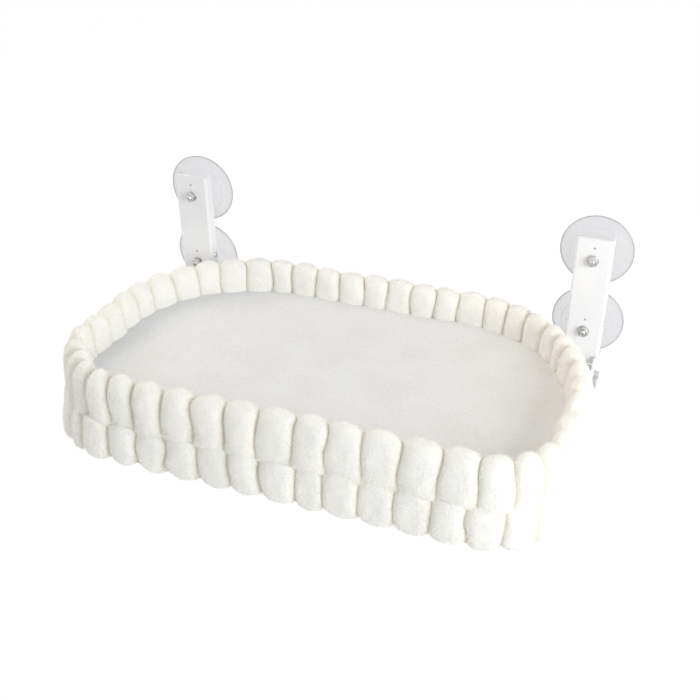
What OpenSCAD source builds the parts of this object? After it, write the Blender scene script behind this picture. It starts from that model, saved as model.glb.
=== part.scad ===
// Window perch: two suction-cup uprights carry a plush bed on a fold-down steel frame.
// Millimetres. Origin on the glass, midway between the four cups. +X right, +Y into the glass, +Z up.

/* [Suction cups] */
// Diameter of a cup's lip on the glass
cup_d = 80; // [74:1:82]
// Height of a cup, from its seat to the glass
cup_h = 25.5; // [23:0.5:32]
// Distance between the upper and the lower cup
cup_spacing = 86; // [84:1:100]

/* [Uprights] */
// Distance from the side of the bed to the middle of an upright
upright_set = 38; // [36:0.5:42]
// Width of an upright's front web
upright_w = 40; // [38:1:42]
// Depth of an upright's flanges
upright_depth = 14; // [12:0.5:18]
// Thickness of the upright's sheet
upright_sheet = 2; // [1.5:0.1:2.4]
// Web above the upper stud
upright_head = 25; // [18:1:34]
// Gap between an upright's foot and the round of its hinge bracket
foot_gap = 1; // [0.5:0.5:4]

/* [Hinges] */
// Thickness of the hinge bracket's sheet
bracket_sheet = 2.5; // [2:0.1:3]
// Drop of the pivot below the lower stud
pivot_drop = 56; // [54:0.5:62]
// Radius at which the clamp bolt runs round the pivot
lock_r = 18; // [17:0.5:20]
// Angle from level to folded down
fold_angle = 90; // [60:5:90]
// Diameter of the pivot and clamp bolts
bolt_d = 6; // [5:0.5:6]
// Diameter of a clamp knob
knob_d = 21; // [18:0.5:22]

/* [Support frame] */
// Height of a support arm
arm_h = 22; // [20:1:24]
// Gap between the front end of an arm and the plush
arm_front_gap = 5; // [4:0.5:12]
// Thickness of an arm's sheet
arm_sheet = 2; // [1.5:0.1:2.5]
// Diameter of the cross tubes
tube_d = 16; // [14:0.5:18]
// Thickness of the support board
board_t = 8; // [6:0.5:10]

/* [Plush bed] */
// Width of the bed over the plush
bed_w = 550; // [544:1:566]
// Depth of the bed over the plush
bed_d = 322; // [316:1:340]
// Gap between the plush and the glass
bed_gap = 5; // [4:0.5:8]
// Corner radius at the front
front_r = 88; // [82:1:96]
// Corner radius at the back
back_r = 170; // [162:1:174]
// Distance from the side of the bed to the inner face of the raised rim
rim_w = 36; // [33:1:40]
// Height of the rim above the board
rim_h = 57; // [52:1:62]
// Height of the pad above the board
pad_h = 20.5; // [17:0.5:25]
// Depth of the lower row of plush below the top of the board
skirt_drop = 43.5; // [40:0.5:44]
// Thickness of the lower row of plush
skirt_w = 19; // [16:0.5:20.5]
// Number of plush ribs round the bed
rib_count = 44; // [36:2:44]

/* [Hidden] */
$fn = 64;

// Clearances and the overrun of every cut
over = 1;
snug = 0.1;
loose = 0.3;
running = 0.05;
soft_gap = 0.6;

// Sheet bends and corners
bend_r = 3;
corner_r = 5;

// Stud, washer and nut of a cup
stud_hole_d = bolt_d + 2 * loose;
stud_disc_d = 18;
stud_disc_t = 1.5;
stud_disc_depth = 3;
boss_d = 30;
boss_t = 4;
neck_d = 22;
neck_l = 8;
peg_d = 2.4;
peg_rise = 14;
peg_proud = 1.6;
washer_d = 12.6;
washer_t = 1.2;
nut_af = 10;
nut_h = 5;
thread_end = 2;

// Outline of a cup: radii as shares of the lip's, heights as shares of the flared part's height
cup_ring_share = 0.71;
cup_ring_back_share = 0.44;
cup_step_share = 0.06;
cup_lip_share = 0.95;
cup_dish_share = 0.62;
cup_dish_mid_share = 0.45;
cup_dish_mid_depth_share = 0.5;
cup_lip_t = 1.1;

// Places along and across an upright
arm_x = bed_w / 2 - upright_set;
stud_z = cup_spacing / 2;
seat_y = -cup_h;
plate_y = seat_y - upright_sheet;
head_z = stud_z + upright_head;
flare_h = cup_h - boss_t - neck_l;

// Hinge bracket, which sits inside the upright's channel
bracket_w = upright_w - 2 * upright_sheet - 2 * snug;
bracket_top_z = -stud_z + boss_d / 2 - over;
bracket_web_top_z = -stud_z - boss_d / 2 - over;
bracket_web_foot_gap = 3;
ear_margin = 6.5;
ear_r = lock_r + ear_margin;
pivot_set = 2;
pivot_y = plate_y + pivot_set;
pivot_z = -stud_z - pivot_drop;
foot_z = pivot_z + ear_r + foot_gap;
flange_y = plate_y + upright_depth;
slot_d = bolt_d + 2 * loose;
rivet_d = 4;
rivet_head_d = 7;
rivet_head_t = 1.4;
rivet_tail_t = 1;
rivet_depth_share = 0.64;
rivet_y = plate_y + upright_depth * rivet_depth_share;
rivet_rise = 8;
rivet_zs = [-stud_z + rivet_rise, foot_z + rivet_head_d / 2 + over];

// Support arms, open below
arm_w = bracket_w - 2 * bracket_sheet - 2 * loose;
arm_end_r = arm_h / 2;
arm_top_z = pivot_z + arm_end_r;
arm_in_w = arm_w - 2 * arm_sheet;
spacer_d = 10;
lock_y = pivot_y - lock_r;
head_af = 10;
head_h = 4;
outer_x = bracket_w / 2;
knob_l = 12;
knob_lobes = 6;
knob_scallop_d = 8;
knob_scallop_set = 1.6;
knob_collar_share = 0.25;

// Cross tubes and their end fixings
tube_wall = 1.5;
tube_front_set = 16;
tube_rear_share = 0.335;
tube_l = 2 * arm_x - arm_w;
insert_l = 16;
screw_d = 5;
screw_head_d = 9;
screw_head_t = 3;
screw_l = 12;
cap_plug_l = 8;
cap_face_t = 2;

// Board, lining and their bolts
lining_t = 1;
board_z = arm_top_z + lining_t;
board_top_z = board_z + board_t;
board_bolt_shares = [0.435, 0.66, 0.85];
board_bolt_d = 5;
sink_d = 10;
sink_t = 2.5;
board_nut_af = 8;
board_nut_h = 4;

// Bed outline, and what reaches from the pivot to it
bed_back_y = -bed_gap;
bed_front_y = bed_back_y - bed_d;
half_w = bed_w / 2;
board_inset = skirt_w + soft_gap;
corner_in_r = front_r - board_inset;
corner_dx = arm_x + arm_w / 2 - half_w + front_r;
arm_front_y = bed_front_y + front_r - sqrt(corner_in_r * corner_in_r - corner_dx * corner_dx) + arm_front_gap;
arm_l = pivot_y - arm_front_y;
tube_ys = [arm_front_y + tube_front_set, pivot_y - arm_l * tube_rear_share];
board_bolt_ys = [for (share = board_bolt_shares) pivot_y - arm_l * share];

// Plush: the rim's and skirt's sections as shares of their width and height, outer edge first
rim_section_shares = [[0.1, 0.45], [0.14, 0.7], [0.3, 0.93], [0.6, 1], [0.88, 0.86], [1, 0.3], [0.92, 0],
    [0.55, 0], [0.2, 0.16]];
skirt_section_shares = [[0, 0.45], [0.12, 0.82], [0.34, 1], [1, 0.84], [1, 0.14], [0.6, 0], [0.14, 0.14]];
rim_middle_shares = [0.6, 0.25];
skirt_middle_shares = [0.8, 0.5];
rim_valley_share = 0.8;
skirt_valley_share = 0.76;
rib_flat_share = 0.27;
rim_seat = 0.3;
rim_underside_share = 0.16;
skirt_top_z = board_top_z + rim_h * rim_underside_share - 2 * over;
skirt_foot_z = board_top_z - skirt_drop;
foam_top_share = 0.68;
pad_ring_shares = [[0.97, 0], [1, 0.3], [0.97, 0.66], [0.86, 0.93], [0.5, 1]];
hem_tape_w = 9;
hem_tape_t = 1.4;
hem_tape_rise = 2;

// The lower plush is open over each arm, between two distances in from the bed's side along its back corner
gap_near_set = 3;
gap_far_set = 85;
gap_start_angle = acos((back_r - gap_near_set) / back_r);
gap_end_angle = acos((back_r - gap_far_set) / back_r);
tape_gap_angle = 1;

// Lengths along the outline of the bed, from the middle of its front to the middle of its back
run_front = half_w - front_r;
run_front_arc = front_r * PI / 2;
run_side = bed_d - front_r - back_r;
run_back_arc = back_r * PI / 2;
run_back = half_w - back_r;
corner_start = run_front + run_front_arc + run_side;
half_run = corner_start + run_back_arc + run_back;
rib_pitch = 2 * half_run / rib_count;
gap_start = corner_start + back_r * PI * gap_start_angle / 180;
gap_end = corner_start + back_r * PI * gap_end_angle / 180;

// Point and outward direction on the outline, at a distance from the middle of the front
function arc_spot(cx, cy, r, angle) = [cx + r * cos(angle), cy + r * sin(angle), cos(angle), sin(angle)];
function half_spot(q) =
    q < run_front ? [q, bed_front_y, 0, -1] :
    q < run_front + run_front_arc ?
        arc_spot(run_front, bed_front_y + front_r, front_r, -90 + (q - run_front) * 180 / (PI * front_r)) :
    q < corner_start ? [half_w, bed_front_y + front_r + q - run_front - run_front_arc, 1, 0] :
    q < corner_start + run_back_arc ?
        arc_spot(run_back, bed_back_y - back_r, back_r, (q - corner_start) * 180 / (PI * back_r)) :
    [run_back - (q - corner_start - run_back_arc), bed_back_y, 0, 1];
function wrap(s) = s - 2 * half_run * floor(s / (2 * half_run));
function spot(s) =
    let (m = wrap(s), p = half_spot(m > half_run ? 2 * half_run - m : m))
    m > half_run ? [-p[0], p[1], -p[2], p[3]] : p;
function place(s, inset, z) = let (p = spot(s)) [p[0] - p[2] * inset, p[1] - p[3] * inset, z];

// Rings of a ribbed roll: three to a rib, of which the first lies in the groove
function rib_step(i) = let (k = i % 3) floor(i / 3) + (k == 0 ? -0.5 : k == 1 ? -rib_flat_share : rib_flat_share);
function swell(i, valley) = i % 3 == 0 ? valley : 1;
function ring(s, f, shares, middle, w, h, z0) = [for (p = shares)
    place(s, w * (middle[0] + (p[0] - middle[0]) * f), z0 + h * (middle[1] + (p[1] - middle[1]) * f))];

// Skin between consecutive rings of m points, as triangles
function skin(first, last, rings, m) = [for (i = [first : last], j = [0 : m - 1], t = [0, 1])
    let (a = (i % rings) * m, b = ((i + 1) % rings) * m, k = (j + 1) % m)
    t == 0 ? [b + k, b + j, a + j] : [a + k, b + k, a + j]];
function fan(start, m, hub, turned) = [for (j = [0 : m - 1])
    let (k = (j + 1) % m) turned ? [start + j, start + k, hub] : [start + k, start + j, hub]];
function mean(points) = [for (axis = [0 : 2]) [for (p = points) p[axis]] * [for (p = points) 1] / len(points)];
function flat(groups) = [for (g = groups, p = g) p];

// A sheet channel in plan: web along X at the origin, legs towards +Y
module channel(w, depth, sheet) {
    difference() {
        rounded_front(w, depth, bend_r);
        translate([0, sheet]) rounded_front(w - 2 * sheet, depth, bend_r - sheet / 2);
    }
}

// A rectangle whose two corners on the X axis are round
module rounded_front(w, depth, r) {
    intersection() {
        translate([-w / 2, 0]) square([w, depth]);
        union() {
            translate([-w / 2, r]) square([w, depth - r]);
            translate([-w / 2 + r, 0]) square([w - 2 * r, depth]);
            translate([-w / 2 + r, r]) circle(r);
            translate([w / 2 - r, r]) circle(r);
        }
    }
}

// A body that runs along X between two places, from an outline drawn with Y across and Z up
module along_x(x0, x1) {
    translate([x0, 0, 0]) rotate([90, 0, 90]) linear_extrude(x1 - x0) children();
}

// A cylinder along X, and one along Y
module rod_x(x0, x1, d) {
    translate([x0, 0, 0]) rotate([0, 90, 0]) cylinder(h = x1 - x0, d = d);
}
module rod_y(y0, y1, d) {
    translate([0, y0, 0]) rotate([-90, 0, 0]) cylinder(h = y1 - y0, d = d);
}

// A hexagonal nut or head along X or along Y
module hex_x(x0, x1, af) {
    translate([x0, 0, 0]) rotate([0, 90, 0]) cylinder(h = x1 - x0, d = af / cos(30), $fn = 6);
}
module hex_y(y0, y1, af) {
    translate([0, y0, 0]) rotate([-90, 0, 0]) cylinder(h = y1 - y0, d = af / cos(30), $fn = 6);
}

// Puts its children at every stud, or at both uprights
module at_studs() {
    for (x = [-arm_x, arm_x], z = [-stud_z, stud_z]) translate([x, 0, z]) children();
}
module at_arms() {
    for (x = [-arm_x, arm_x]) translate([x, 0, 0]) children();
}

// Upright: a pressed channel with rounded top corners
module upright(side) {
    tall = head_z - foot_z;
    color("white") translate([side * arm_x, 0, 0]) difference() {
        intersection() {
            translate([0, plate_y, foot_z]) linear_extrude(tall) channel(upright_w, upright_depth, upright_sheet);
            translate([0, flange_y + over, foot_z]) rotate([90, 0, 0])
                linear_extrude(upright_depth + 2 * over) round_topped(upright_w, tall, corner_r);
            along_x(-upright_w / 2 - over, upright_w / 2 + over)
                translate([plate_y + upright_depth / 2, foot_z]) round_topped(upright_depth, tall, corner_r, -1);
        }
        for (z = [-stud_z, stud_z]) {
            translate([0, 0, z]) rod_y(plate_y - over, seat_y + over, stud_hole_d);
            translate([0, 0, z + peg_rise]) rod_y(plate_y - over, seat_y + over, peg_d + 2 * snug);
        }
        for (z = rivet_zs) {
            translate([0, rivet_y, z]) rod_x(-upright_w / 2 - over, upright_w / 2 + over, rivet_d);
        }
    }
}

// A plate outline with round upper corners; with a sign, only the corner on that side is left square
module round_topped(w, h, r, square_side = 0) {
    translate([-w / 2, 0]) square([w, h - r]);
    translate([-w / 2 + r, 0]) square([w - 2 * r, h]);
    translate([-w / 2 + r, h - r]) circle(r);
    translate([w / 2 - r, h - r]) circle(r);
    if (square_side != 0) {
        translate([square_side < 0 ? -w / 2 : w / 2 - r, h - r]) square([r, r]);
    }
}

// Side of a hinge bracket, with the pivot's hole and the clamp bolt's curved slot
module ear_outline() {
    difference() {
        union() {
            translate([seat_y + bend_r, pivot_z]) square([flange_y - seat_y - bend_r, bracket_top_z - pivot_z]);
            intersection() {
                translate([pivot_y, pivot_z]) circle(ear_r);
                translate([pivot_y - ear_r, pivot_z - ear_r]) square([flange_y - pivot_y + ear_r, 2 * ear_r]);
            }
        }
        translate([pivot_y, pivot_z]) circle(d = bolt_d + 2 * running);
        translate([pivot_y, pivot_z]) curved_slot();
        for (z = rivet_zs) translate([rivet_y, z]) circle(d = rivet_d);
    }
}

// The slot runs from straight in front of the pivot down through the fold angle
module curved_slot() {
    intersection() {
        difference() {
            circle(lock_r + slot_d / 2);
            circle(lock_r - slot_d / 2);
        }
        slot_wedge();
    }
    for (angle = [180, 180 + fold_angle]) {
        translate([lock_r * cos(angle), lock_r * sin(angle)]) circle(d = slot_d);
    }
}
module slot_wedge() {
    reach = 2 * ear_r;
    polygon([[0, 0], [-reach, 0], [reach * cos(180 + fold_angle / 2), reach * sin(180 + fold_angle / 2)],
        [reach * cos(180 + fold_angle), reach * sin(180 + fold_angle)]]);
}

// Hinge bracket: two ears inside the upright's flanges, joined by a web above the arm
module hinge_bracket(side) {
    web_foot_z = arm_top_z + bracket_web_foot_gap;
    color("white") translate([side * arm_x, 0, 0]) union() {
        for (turn = [-1, 1]) {
            along_x(turn > 0 ? outer_x - bracket_sheet : -outer_x, turn > 0 ? outer_x : -outer_x + bracket_sheet)
                ear_outline();
        }
        translate([0, seat_y + snug, web_foot_z]) linear_extrude(bracket_web_top_z - web_foot_z)
            channel(bracket_w, bend_r + over, bracket_sheet);
    }
}

// Domed rivets through the upright's flanges and the bracket's ears
module bracket_rivets() {
    inner_x = outer_x - bracket_sheet;
    color("gainsboro") at_arms() for (z = rivet_zs, turn = [0, 180]) {
        translate([0, rivet_y, z]) rotate([0, 0, turn]) union() {
            rod_x(inner_x - rivet_tail_t, upright_w / 2 + rivet_head_t, rivet_d);
            rod_x(inner_x - rivet_tail_t, inner_x, rivet_d + rivet_tail_t);
            translate([upright_w / 2, 0, 0]) rotate([0, 90, 0])
                cylinder(h = rivet_head_t, d1 = rivet_head_d, d2 = rivet_head_d - 2 * rivet_head_t);
        }
    }
}

// Suction cup, turned about its stud: seat at the top of the outline, lip at zero
module cup_body() {
    lip_r = cup_d / 2;
    ring_r = lip_r * cup_ring_share;
    rotate_extrude() difference() {
        polygon([[0, 0], [lip_r, 0], [lip_r, cup_lip_t], [ring_r, flare_h * cup_ring_back_share],
            [ring_r, flare_h * (cup_ring_back_share + cup_step_share)], [neck_d / 2, flare_h],
            [neck_d / 2, flare_h + neck_l], [boss_d / 2, flare_h + neck_l], [boss_d / 2, cup_h], [0, cup_h]]);
        polygon([[-over, -over], [lip_r * cup_lip_share, -over], [lip_r * cup_lip_share, 0],
            [lip_r * cup_dish_mid_share, flare_h * cup_dish_mid_depth_share],
            [0, flare_h * cup_dish_share], [-over, flare_h * cup_dish_share]]);
    }
}
module cup(side, level) {
    color([0.88, 0.9, 0.92, 0.55]) translate([side * arm_x, 0, level * stud_z]) difference() {
        union() {
            rotate([90, 0, 0]) cup_body();
            translate([0, 0, peg_rise]) rod_y(seat_y - peg_proud, seat_y + boss_t / 2, peg_d);
        }
        rod_y(seat_y - over, seat_y + stud_disc_depth, bolt_d + 2 * running);
        rod_y(seat_y + stud_disc_depth, seat_y + stud_disc_depth + stud_disc_t + running,
            stud_disc_d + 2 * running);
    }
}

// Stud moulded into each cup, with a disc inside the boss
stud_end_y = plate_y - washer_t - nut_h - thread_end;
module cup_studs() {
    color("silver") at_studs() union() {
        rod_y(stud_end_y, seat_y + stud_disc_depth + stud_disc_t / 2, bolt_d);
        rod_y(seat_y + stud_disc_depth + running, seat_y + stud_disc_depth + stud_disc_t, stud_disc_d);
    }
}
module cup_washers() {
    color("silver") at_studs() difference() {
        rod_y(plate_y - washer_t, plate_y, washer_d);
        rod_y(plate_y - washer_t - over, plate_y + over, bolt_d + 2 * snug);
    }
}
module cup_nuts() {
    color("silver") at_studs() difference() {
        hex_y(plate_y - washer_t - nut_h, plate_y - washer_t, nut_af);
        rod_y(plate_y - washer_t - nut_h - over, plate_y + over, bolt_d + 2 * running);
    }
}

// Pivot bolts: heads on the outside, lock nuts on the inside
module at_pivots() {
    for (turn = [0, 1]) mirror([turn, 0, 0]) translate([arm_x, pivot_y, pivot_z]) children();
}
module at_locks() {
    for (turn = [0, 1]) mirror([turn, 0, 0]) translate([arm_x, lock_y, pivot_z]) children();
}
module hinge_bolt(inner_end) {
    rod_x(inner_end, outer_x + washer_t, bolt_d);
    hex_x(outer_x + washer_t, outer_x + washer_t + head_h, head_af);
}
module hinge_washer_pair() {
    for (x = [-outer_x - washer_t, outer_x]) difference() {
        rod_x(x, x + washer_t, washer_d);
        rod_x(x - over, x + washer_t + over, bolt_d + 2 * running);
    }
}
module pivot_bolts() {
    color("silver") at_pivots() hinge_bolt(-outer_x - washer_t - nut_h - thread_end / 2);
}
module pivot_washers() {
    color("silver") at_pivots() hinge_washer_pair();
}
module pivot_nuts() {
    color("silver") at_pivots() difference() {
        hex_x(-outer_x - washer_t - nut_h, -outer_x - washer_t, nut_af);
        rod_x(-outer_x - washer_t - nut_h - over, -outer_x, bolt_d + 2 * running);
    }
}

// Support arm: channel open below, round about the pivot
module arm(side) {
    color("white") translate([side * arm_x, 0, 0]) difference() {
        intersection() {
            translate([0, pivot_y + arm_end_r, arm_top_z]) rotate([90, 0, 0]) linear_extrude(arm_l + arm_end_r)
                mirror([0, 1]) channel(arm_w, arm_h, arm_sheet);
            along_x(-arm_w / 2 - over, arm_w / 2 + over) arm_side();
        }
        for (y = [pivot_y, lock_y]) {
            translate([0, y, pivot_z]) rod_x(-arm_w / 2 - over, arm_w / 2 + over, bolt_d + 2 * snug);
        }
        for (y = tube_ys) {
            translate([0, y, pivot_z]) rod_x(side > 0 ? -arm_w / 2 - over : 0, side > 0 ? 0 : arm_w / 2 + over,
                screw_d + 2 * snug);
        }
        for (y = board_bolt_ys) {
            translate([0, y, arm_top_z - arm_sheet - over]) cylinder(h = arm_sheet + 2 * over,
                d = board_bolt_d + 2 * snug);
        }
    }
}
module arm_side() {
    translate([arm_front_y, pivot_z - arm_end_r]) square([arm_l, arm_h]);
    translate([pivot_y, pivot_z]) circle(arm_end_r);
}

// Sleeves that keep an arm's sides apart on the pivot and clamp bolts
module pivot_spacers() {
    color("dimgray") for (turn = [0, 1], y = [pivot_y, lock_y]) mirror([turn, 0, 0])
        translate([arm_x, y, pivot_z]) difference() {
            rod_x(-arm_in_w / 2 + snug, arm_in_w / 2 - snug, spacer_d);
            rod_x(-arm_in_w / 2 - over, arm_in_w / 2 + over, bolt_d + 2 * snug);
        }
}

// Clamp bolts, which run in the curved slots, and their washers
knob_x = -outer_x - washer_t;
module lock_bolts() {
    color("silver") at_locks() hinge_bolt(knob_x - knob_l + over);
}
module lock_washers() {
    color("silver") at_locks() hinge_washer_pair();
}

// Round clamp knob with finger hollows, on the inner side of its arm
module knob(turn) {
    scallop_ring = knob_d / 2 + knob_scallop_set;
    color("dimgray") mirror([turn, 0, 0]) translate([arm_x, lock_y, pivot_z]) difference() {
        rod_x(knob_x - knob_l, knob_x, knob_d);
        rod_x(knob_x - knob_l + over / 2, knob_x + over, bolt_d + 2 * snug);
        for (lobe = [0 : knob_lobes - 1]) rotate([lobe * 360 / knob_lobes, 0, 0])
            translate([0, 0, scallop_ring])
                rod_x(knob_x - knob_l - over, knob_x - knob_l * knob_collar_share, knob_scallop_d);
    }
}

// Cross tubes between the arms, with a threaded insert and a screw at each end
module cross_tube(y) {
    color("white") translate([0, y, pivot_z]) difference() {
        rod_x(-tube_l / 2, tube_l / 2, tube_d);
        rod_x(-tube_l / 2 - over, tube_l / 2 + over, tube_d - 2 * tube_wall);
    }
}
module at_tube_ends() {
    for (turn = [0, 1], y = tube_ys) mirror([turn, 0, 0]) translate([tube_l / 2, y, pivot_z]) children();
}
module tube_inserts() {
    color("dimgray") at_tube_ends() difference() {
        rod_x(-insert_l, 0, tube_d - 2 * tube_wall);
        rod_x(-insert_l - over, over, screw_d + 2 * snug);
    }
}
module tube_screws() {
    color("silver") at_tube_ends() union() {
        rod_x(arm_sheet - screw_l, arm_sheet, screw_d);
        rod_x(arm_sheet, arm_sheet + screw_head_t, screw_head_d);
    }
}

// Plastic plugs in the front ends of the arms
module arm_end_caps() {
    color("white") at_arms() union() {
        translate([-arm_w / 2, arm_front_y - cap_face_t, arm_top_z - arm_h]) cube([arm_w, cap_face_t, arm_h]);
        translate([-arm_in_w / 2 + snug, arm_front_y - over / 2, arm_top_z - arm_h])
            cube([arm_in_w - 2 * snug, cap_plug_l + over / 2, arm_h - arm_sheet - bend_r]);
    }
}

// Outline of the bed, drawn in from the plush by an inset
module bed_outline(inset) {
    a = half_w - inset;
    f = front_r - inset;
    b = back_r - inset;
    front_y = bed_front_y + inset;
    back_y = bed_back_y - inset;
    middle_y = front_y + f;
    translate([-a, middle_y]) square([2 * a, back_y - b - middle_y]);
    translate([-a + f, front_y]) square([2 * (a - f), f + over]);
    translate([-a + b, middle_y]) square([2 * (a - b), back_y - middle_y]);
    for (turn = [-1, 1]) translate([turn * (a - f), middle_y]) circle(f);
    intersection() {
        translate([-a, middle_y]) square([2 * a, back_y - middle_y]);
        for (turn = [-1, 1]) translate([turn * (a - b), back_y - b]) circle(b);
    }
}

// Support board, and the lining between it and the arms
module at_board_bolts() {
    for (x = [-arm_x, arm_x], y = board_bolt_ys) translate([x, y, 0]) children();
}
module support_board() {
    color("burlywood") difference() {
        translate([0, 0, board_z]) linear_extrude(board_t) bed_outline(board_inset);
        at_board_bolts() {
            translate([0, 0, board_z - over]) cylinder(h = board_t + 2 * over, d = board_bolt_d + 2 * snug);
            translate([0, 0, board_top_z - sink_t]) cylinder(h = sink_t, d1 = board_bolt_d + 2 * snug, d2 = sink_d);
            translate([0, 0, board_top_z]) cylinder(h = over, d = sink_d);
        }
    }
}
module base_lining() {
    color("whitesmoke") difference() {
        translate([0, 0, arm_top_z]) linear_extrude(lining_t) bed_outline(board_inset);
        at_board_bolts() translate([0, 0, arm_top_z - over]) cylinder(h = lining_t + 2 * over,
            d = board_bolt_d + 2 * snug);
    }
}
module board_bolts() {
    shank_foot_z = arm_top_z - arm_sheet - board_nut_h - over;
    color("silver") at_board_bolts() union() {
        translate([0, 0, shank_foot_z]) cylinder(h = board_top_z - sink_t / 2 - shank_foot_z, d = board_bolt_d);
        translate([0, 0, board_top_z - sink_t]) cylinder(h = sink_t, d1 = board_bolt_d, d2 = sink_d - 2 * snug);
    }
}
module board_nuts() {
    color("silver") at_board_bolts() translate([0, 0, arm_top_z - arm_sheet - board_nut_h]) difference() {
        cylinder(h = board_nut_h, d = board_nut_af / cos(30), $fn = 6);
        translate([0, 0, -over]) cylinder(h = board_nut_h + 2 * over, d = board_bolt_d + 2 * running);
    }
}

// Foam mattress inside the rim, and the crowned pad over it
foam_top_z = board_top_z + pad_h * foam_top_share;
module foam_mattress() {
    color("lightyellow") translate([0, 0, board_top_z]) linear_extrude(foam_top_z - board_top_z)
        bed_outline(rim_w + soft_gap);
}
module pad_cover() {
    count = 2 * rib_count;
    low_z = foam_top_z + loose;
    tall = board_top_z + pad_h - low_z;
    middle = [0, bed_front_y + bed_d / 2];
    rims = [for (p = pad_ring_shares) [for (i = [0 : count - 1])
        let (q = place(i * rib_pitch / 2, rim_w + soft_gap, 0))
        [middle[0] + (q[0] - middle[0]) * p[0], middle[1] + (q[1] - middle[1]) * p[0], low_z + tall * p[1]]]];
    body_points = flat(rims);
    points = concat(body_points, [[middle[0], middle[1], low_z], [middle[0], middle[1], low_z + tall]]);
    rows = len(rims);
    faces = concat(skin(0, rows - 2, rows, count), fan(0, count, len(body_points), false),
        fan((rows - 1) * count, count, len(body_points) + 1, true));
    color("snow") polyhedron(points, [for (f = faces) [f[2], f[1], f[0]]]);
}

// Raised plush rim: one closed roll of ribs
module plush_rim() {
    rings = 3 * rib_count;
    m = len(rim_section_shares);
    points = flat([for (i = [0 : rings - 1])
        ring(rib_step(i) * rib_pitch, swell(i, rim_valley_share), rim_section_shares, rim_middle_shares, rim_w,
            rim_h - rim_seat, board_top_z + rim_seat)]);
    color("snow") polyhedron(points, skin(0, rings - 1, rings, m));
}

// Lower row of plush ribs between two distances along the outline
module skirt_run(from, to) {
    inner = [for (i = [0 : 3 * rib_count * 2]) let (s = rib_step(i) * rib_pitch) if (s > from && s < to) i];
    m = len(skirt_section_shares);
    stations = concat([[from, skirt_valley_share]],
        [for (i = inner) [rib_step(i) * rib_pitch, swell(i, skirt_valley_share)]], [[to, skirt_valley_share]]);
    rings = [for (q = stations) ring(q[0], q[1], skirt_section_shares, skirt_middle_shares, skirt_w,
        skirt_top_z - skirt_foot_z, skirt_foot_z)];
    count = len(rings);
    points = concat(flat(rings), [mean(rings[0]), mean(rings[count - 1])]);
    faces = concat(skin(0, count - 2, count, m), fan(0, m, count * m, false),
        fan((count - 1) * m, m, count * m + 1, true));
    color("snow") polyhedron(points, faces);
}
module plush_skirt_front() {
    skirt_run(2 * half_run - gap_start, 2 * half_run + gap_start);
}
module plush_skirt_back() {
    skirt_run(gap_end, 2 * half_run - gap_end);
}

// Tape that binds the inner edge of the lower row of plush
module hem_tape() {
    color("whitesmoke") translate([0, 0, skirt_foot_z + hem_tape_rise]) linear_extrude(hem_tape_w) difference() {
        bed_outline(skirt_w + soft_gap);
        bed_outline(skirt_w + soft_gap + hem_tape_t);
        for (turn = [0, 1]) mirror([turn, 0]) gap_wedge();
    }
}
module gap_wedge() {
    reach = 2 * back_r;
    from = gap_start_angle - tape_gap_angle;
    to = gap_end_angle + tape_gap_angle;
    translate([run_back, bed_back_y - back_r])
        polygon([[0, 0], [reach * cos(from), reach * sin(from)], [reach * cos(to), reach * sin(to)]]);
}

upright(-1);  // left_upright
upright(1);  // right_upright
hinge_bracket(-1);  // left_hinge_bracket
hinge_bracket(1);  // right_hinge_bracket
bracket_rivets();
cup(-1, 1);  // upper_left_cup
cup(-1, -1);  // lower_left_cup
cup(1, 1);  // upper_right_cup
cup(1, -1);  // lower_right_cup
cup_studs();
cup_washers();
cup_nuts();
pivot_bolts();
pivot_washers();
pivot_nuts();
arm(-1);  // left_arm
arm(1);  // right_arm
cross_tube(tube_ys[0]);  // front_cross_tube
cross_tube(tube_ys[1]);  // rear_cross_tube
tube_inserts();
tube_screws();
arm_end_caps();
pivot_spacers();
lock_bolts();
lock_washers();
knob(1);  // left_knob
knob(0);  // right_knob
support_board();
board_bolts();
board_nuts();
base_lining();
foam_mattress();
pad_cover();
plush_rim();
plush_skirt_front();
plush_skirt_back();
hem_tape();
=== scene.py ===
"""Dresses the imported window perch: clear cups, white pressed steel and a bed of ribbed plush."""

import logging
import math
from collections.abc import Callable, Sequence
from dataclasses import dataclass
from enum import Enum
from typing import Any

import bmesh
import bpy
import numpy as np
from mathutils import Matrix, Vector


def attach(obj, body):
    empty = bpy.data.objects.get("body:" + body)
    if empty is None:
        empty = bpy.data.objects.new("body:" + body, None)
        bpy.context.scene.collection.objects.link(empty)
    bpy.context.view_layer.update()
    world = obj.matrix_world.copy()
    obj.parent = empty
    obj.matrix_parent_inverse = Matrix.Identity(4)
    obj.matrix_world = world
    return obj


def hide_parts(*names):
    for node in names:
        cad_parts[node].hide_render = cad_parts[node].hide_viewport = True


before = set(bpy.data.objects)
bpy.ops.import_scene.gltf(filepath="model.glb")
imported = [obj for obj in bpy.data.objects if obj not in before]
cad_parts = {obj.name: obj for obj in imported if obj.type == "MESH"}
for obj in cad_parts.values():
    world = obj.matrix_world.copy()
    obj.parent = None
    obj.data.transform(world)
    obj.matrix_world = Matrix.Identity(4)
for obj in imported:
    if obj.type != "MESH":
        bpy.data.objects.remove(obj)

Colour = tuple[float, float, float]
Place = tuple[float, float, float]
Pair = tuple[float, float]
Faces = list[list[int]]

LOG = logging.getLogger("perch")
MM = 0.001
WHITE: Colour = (1.0, 1.0, 1.0)


# Node trees


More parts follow.
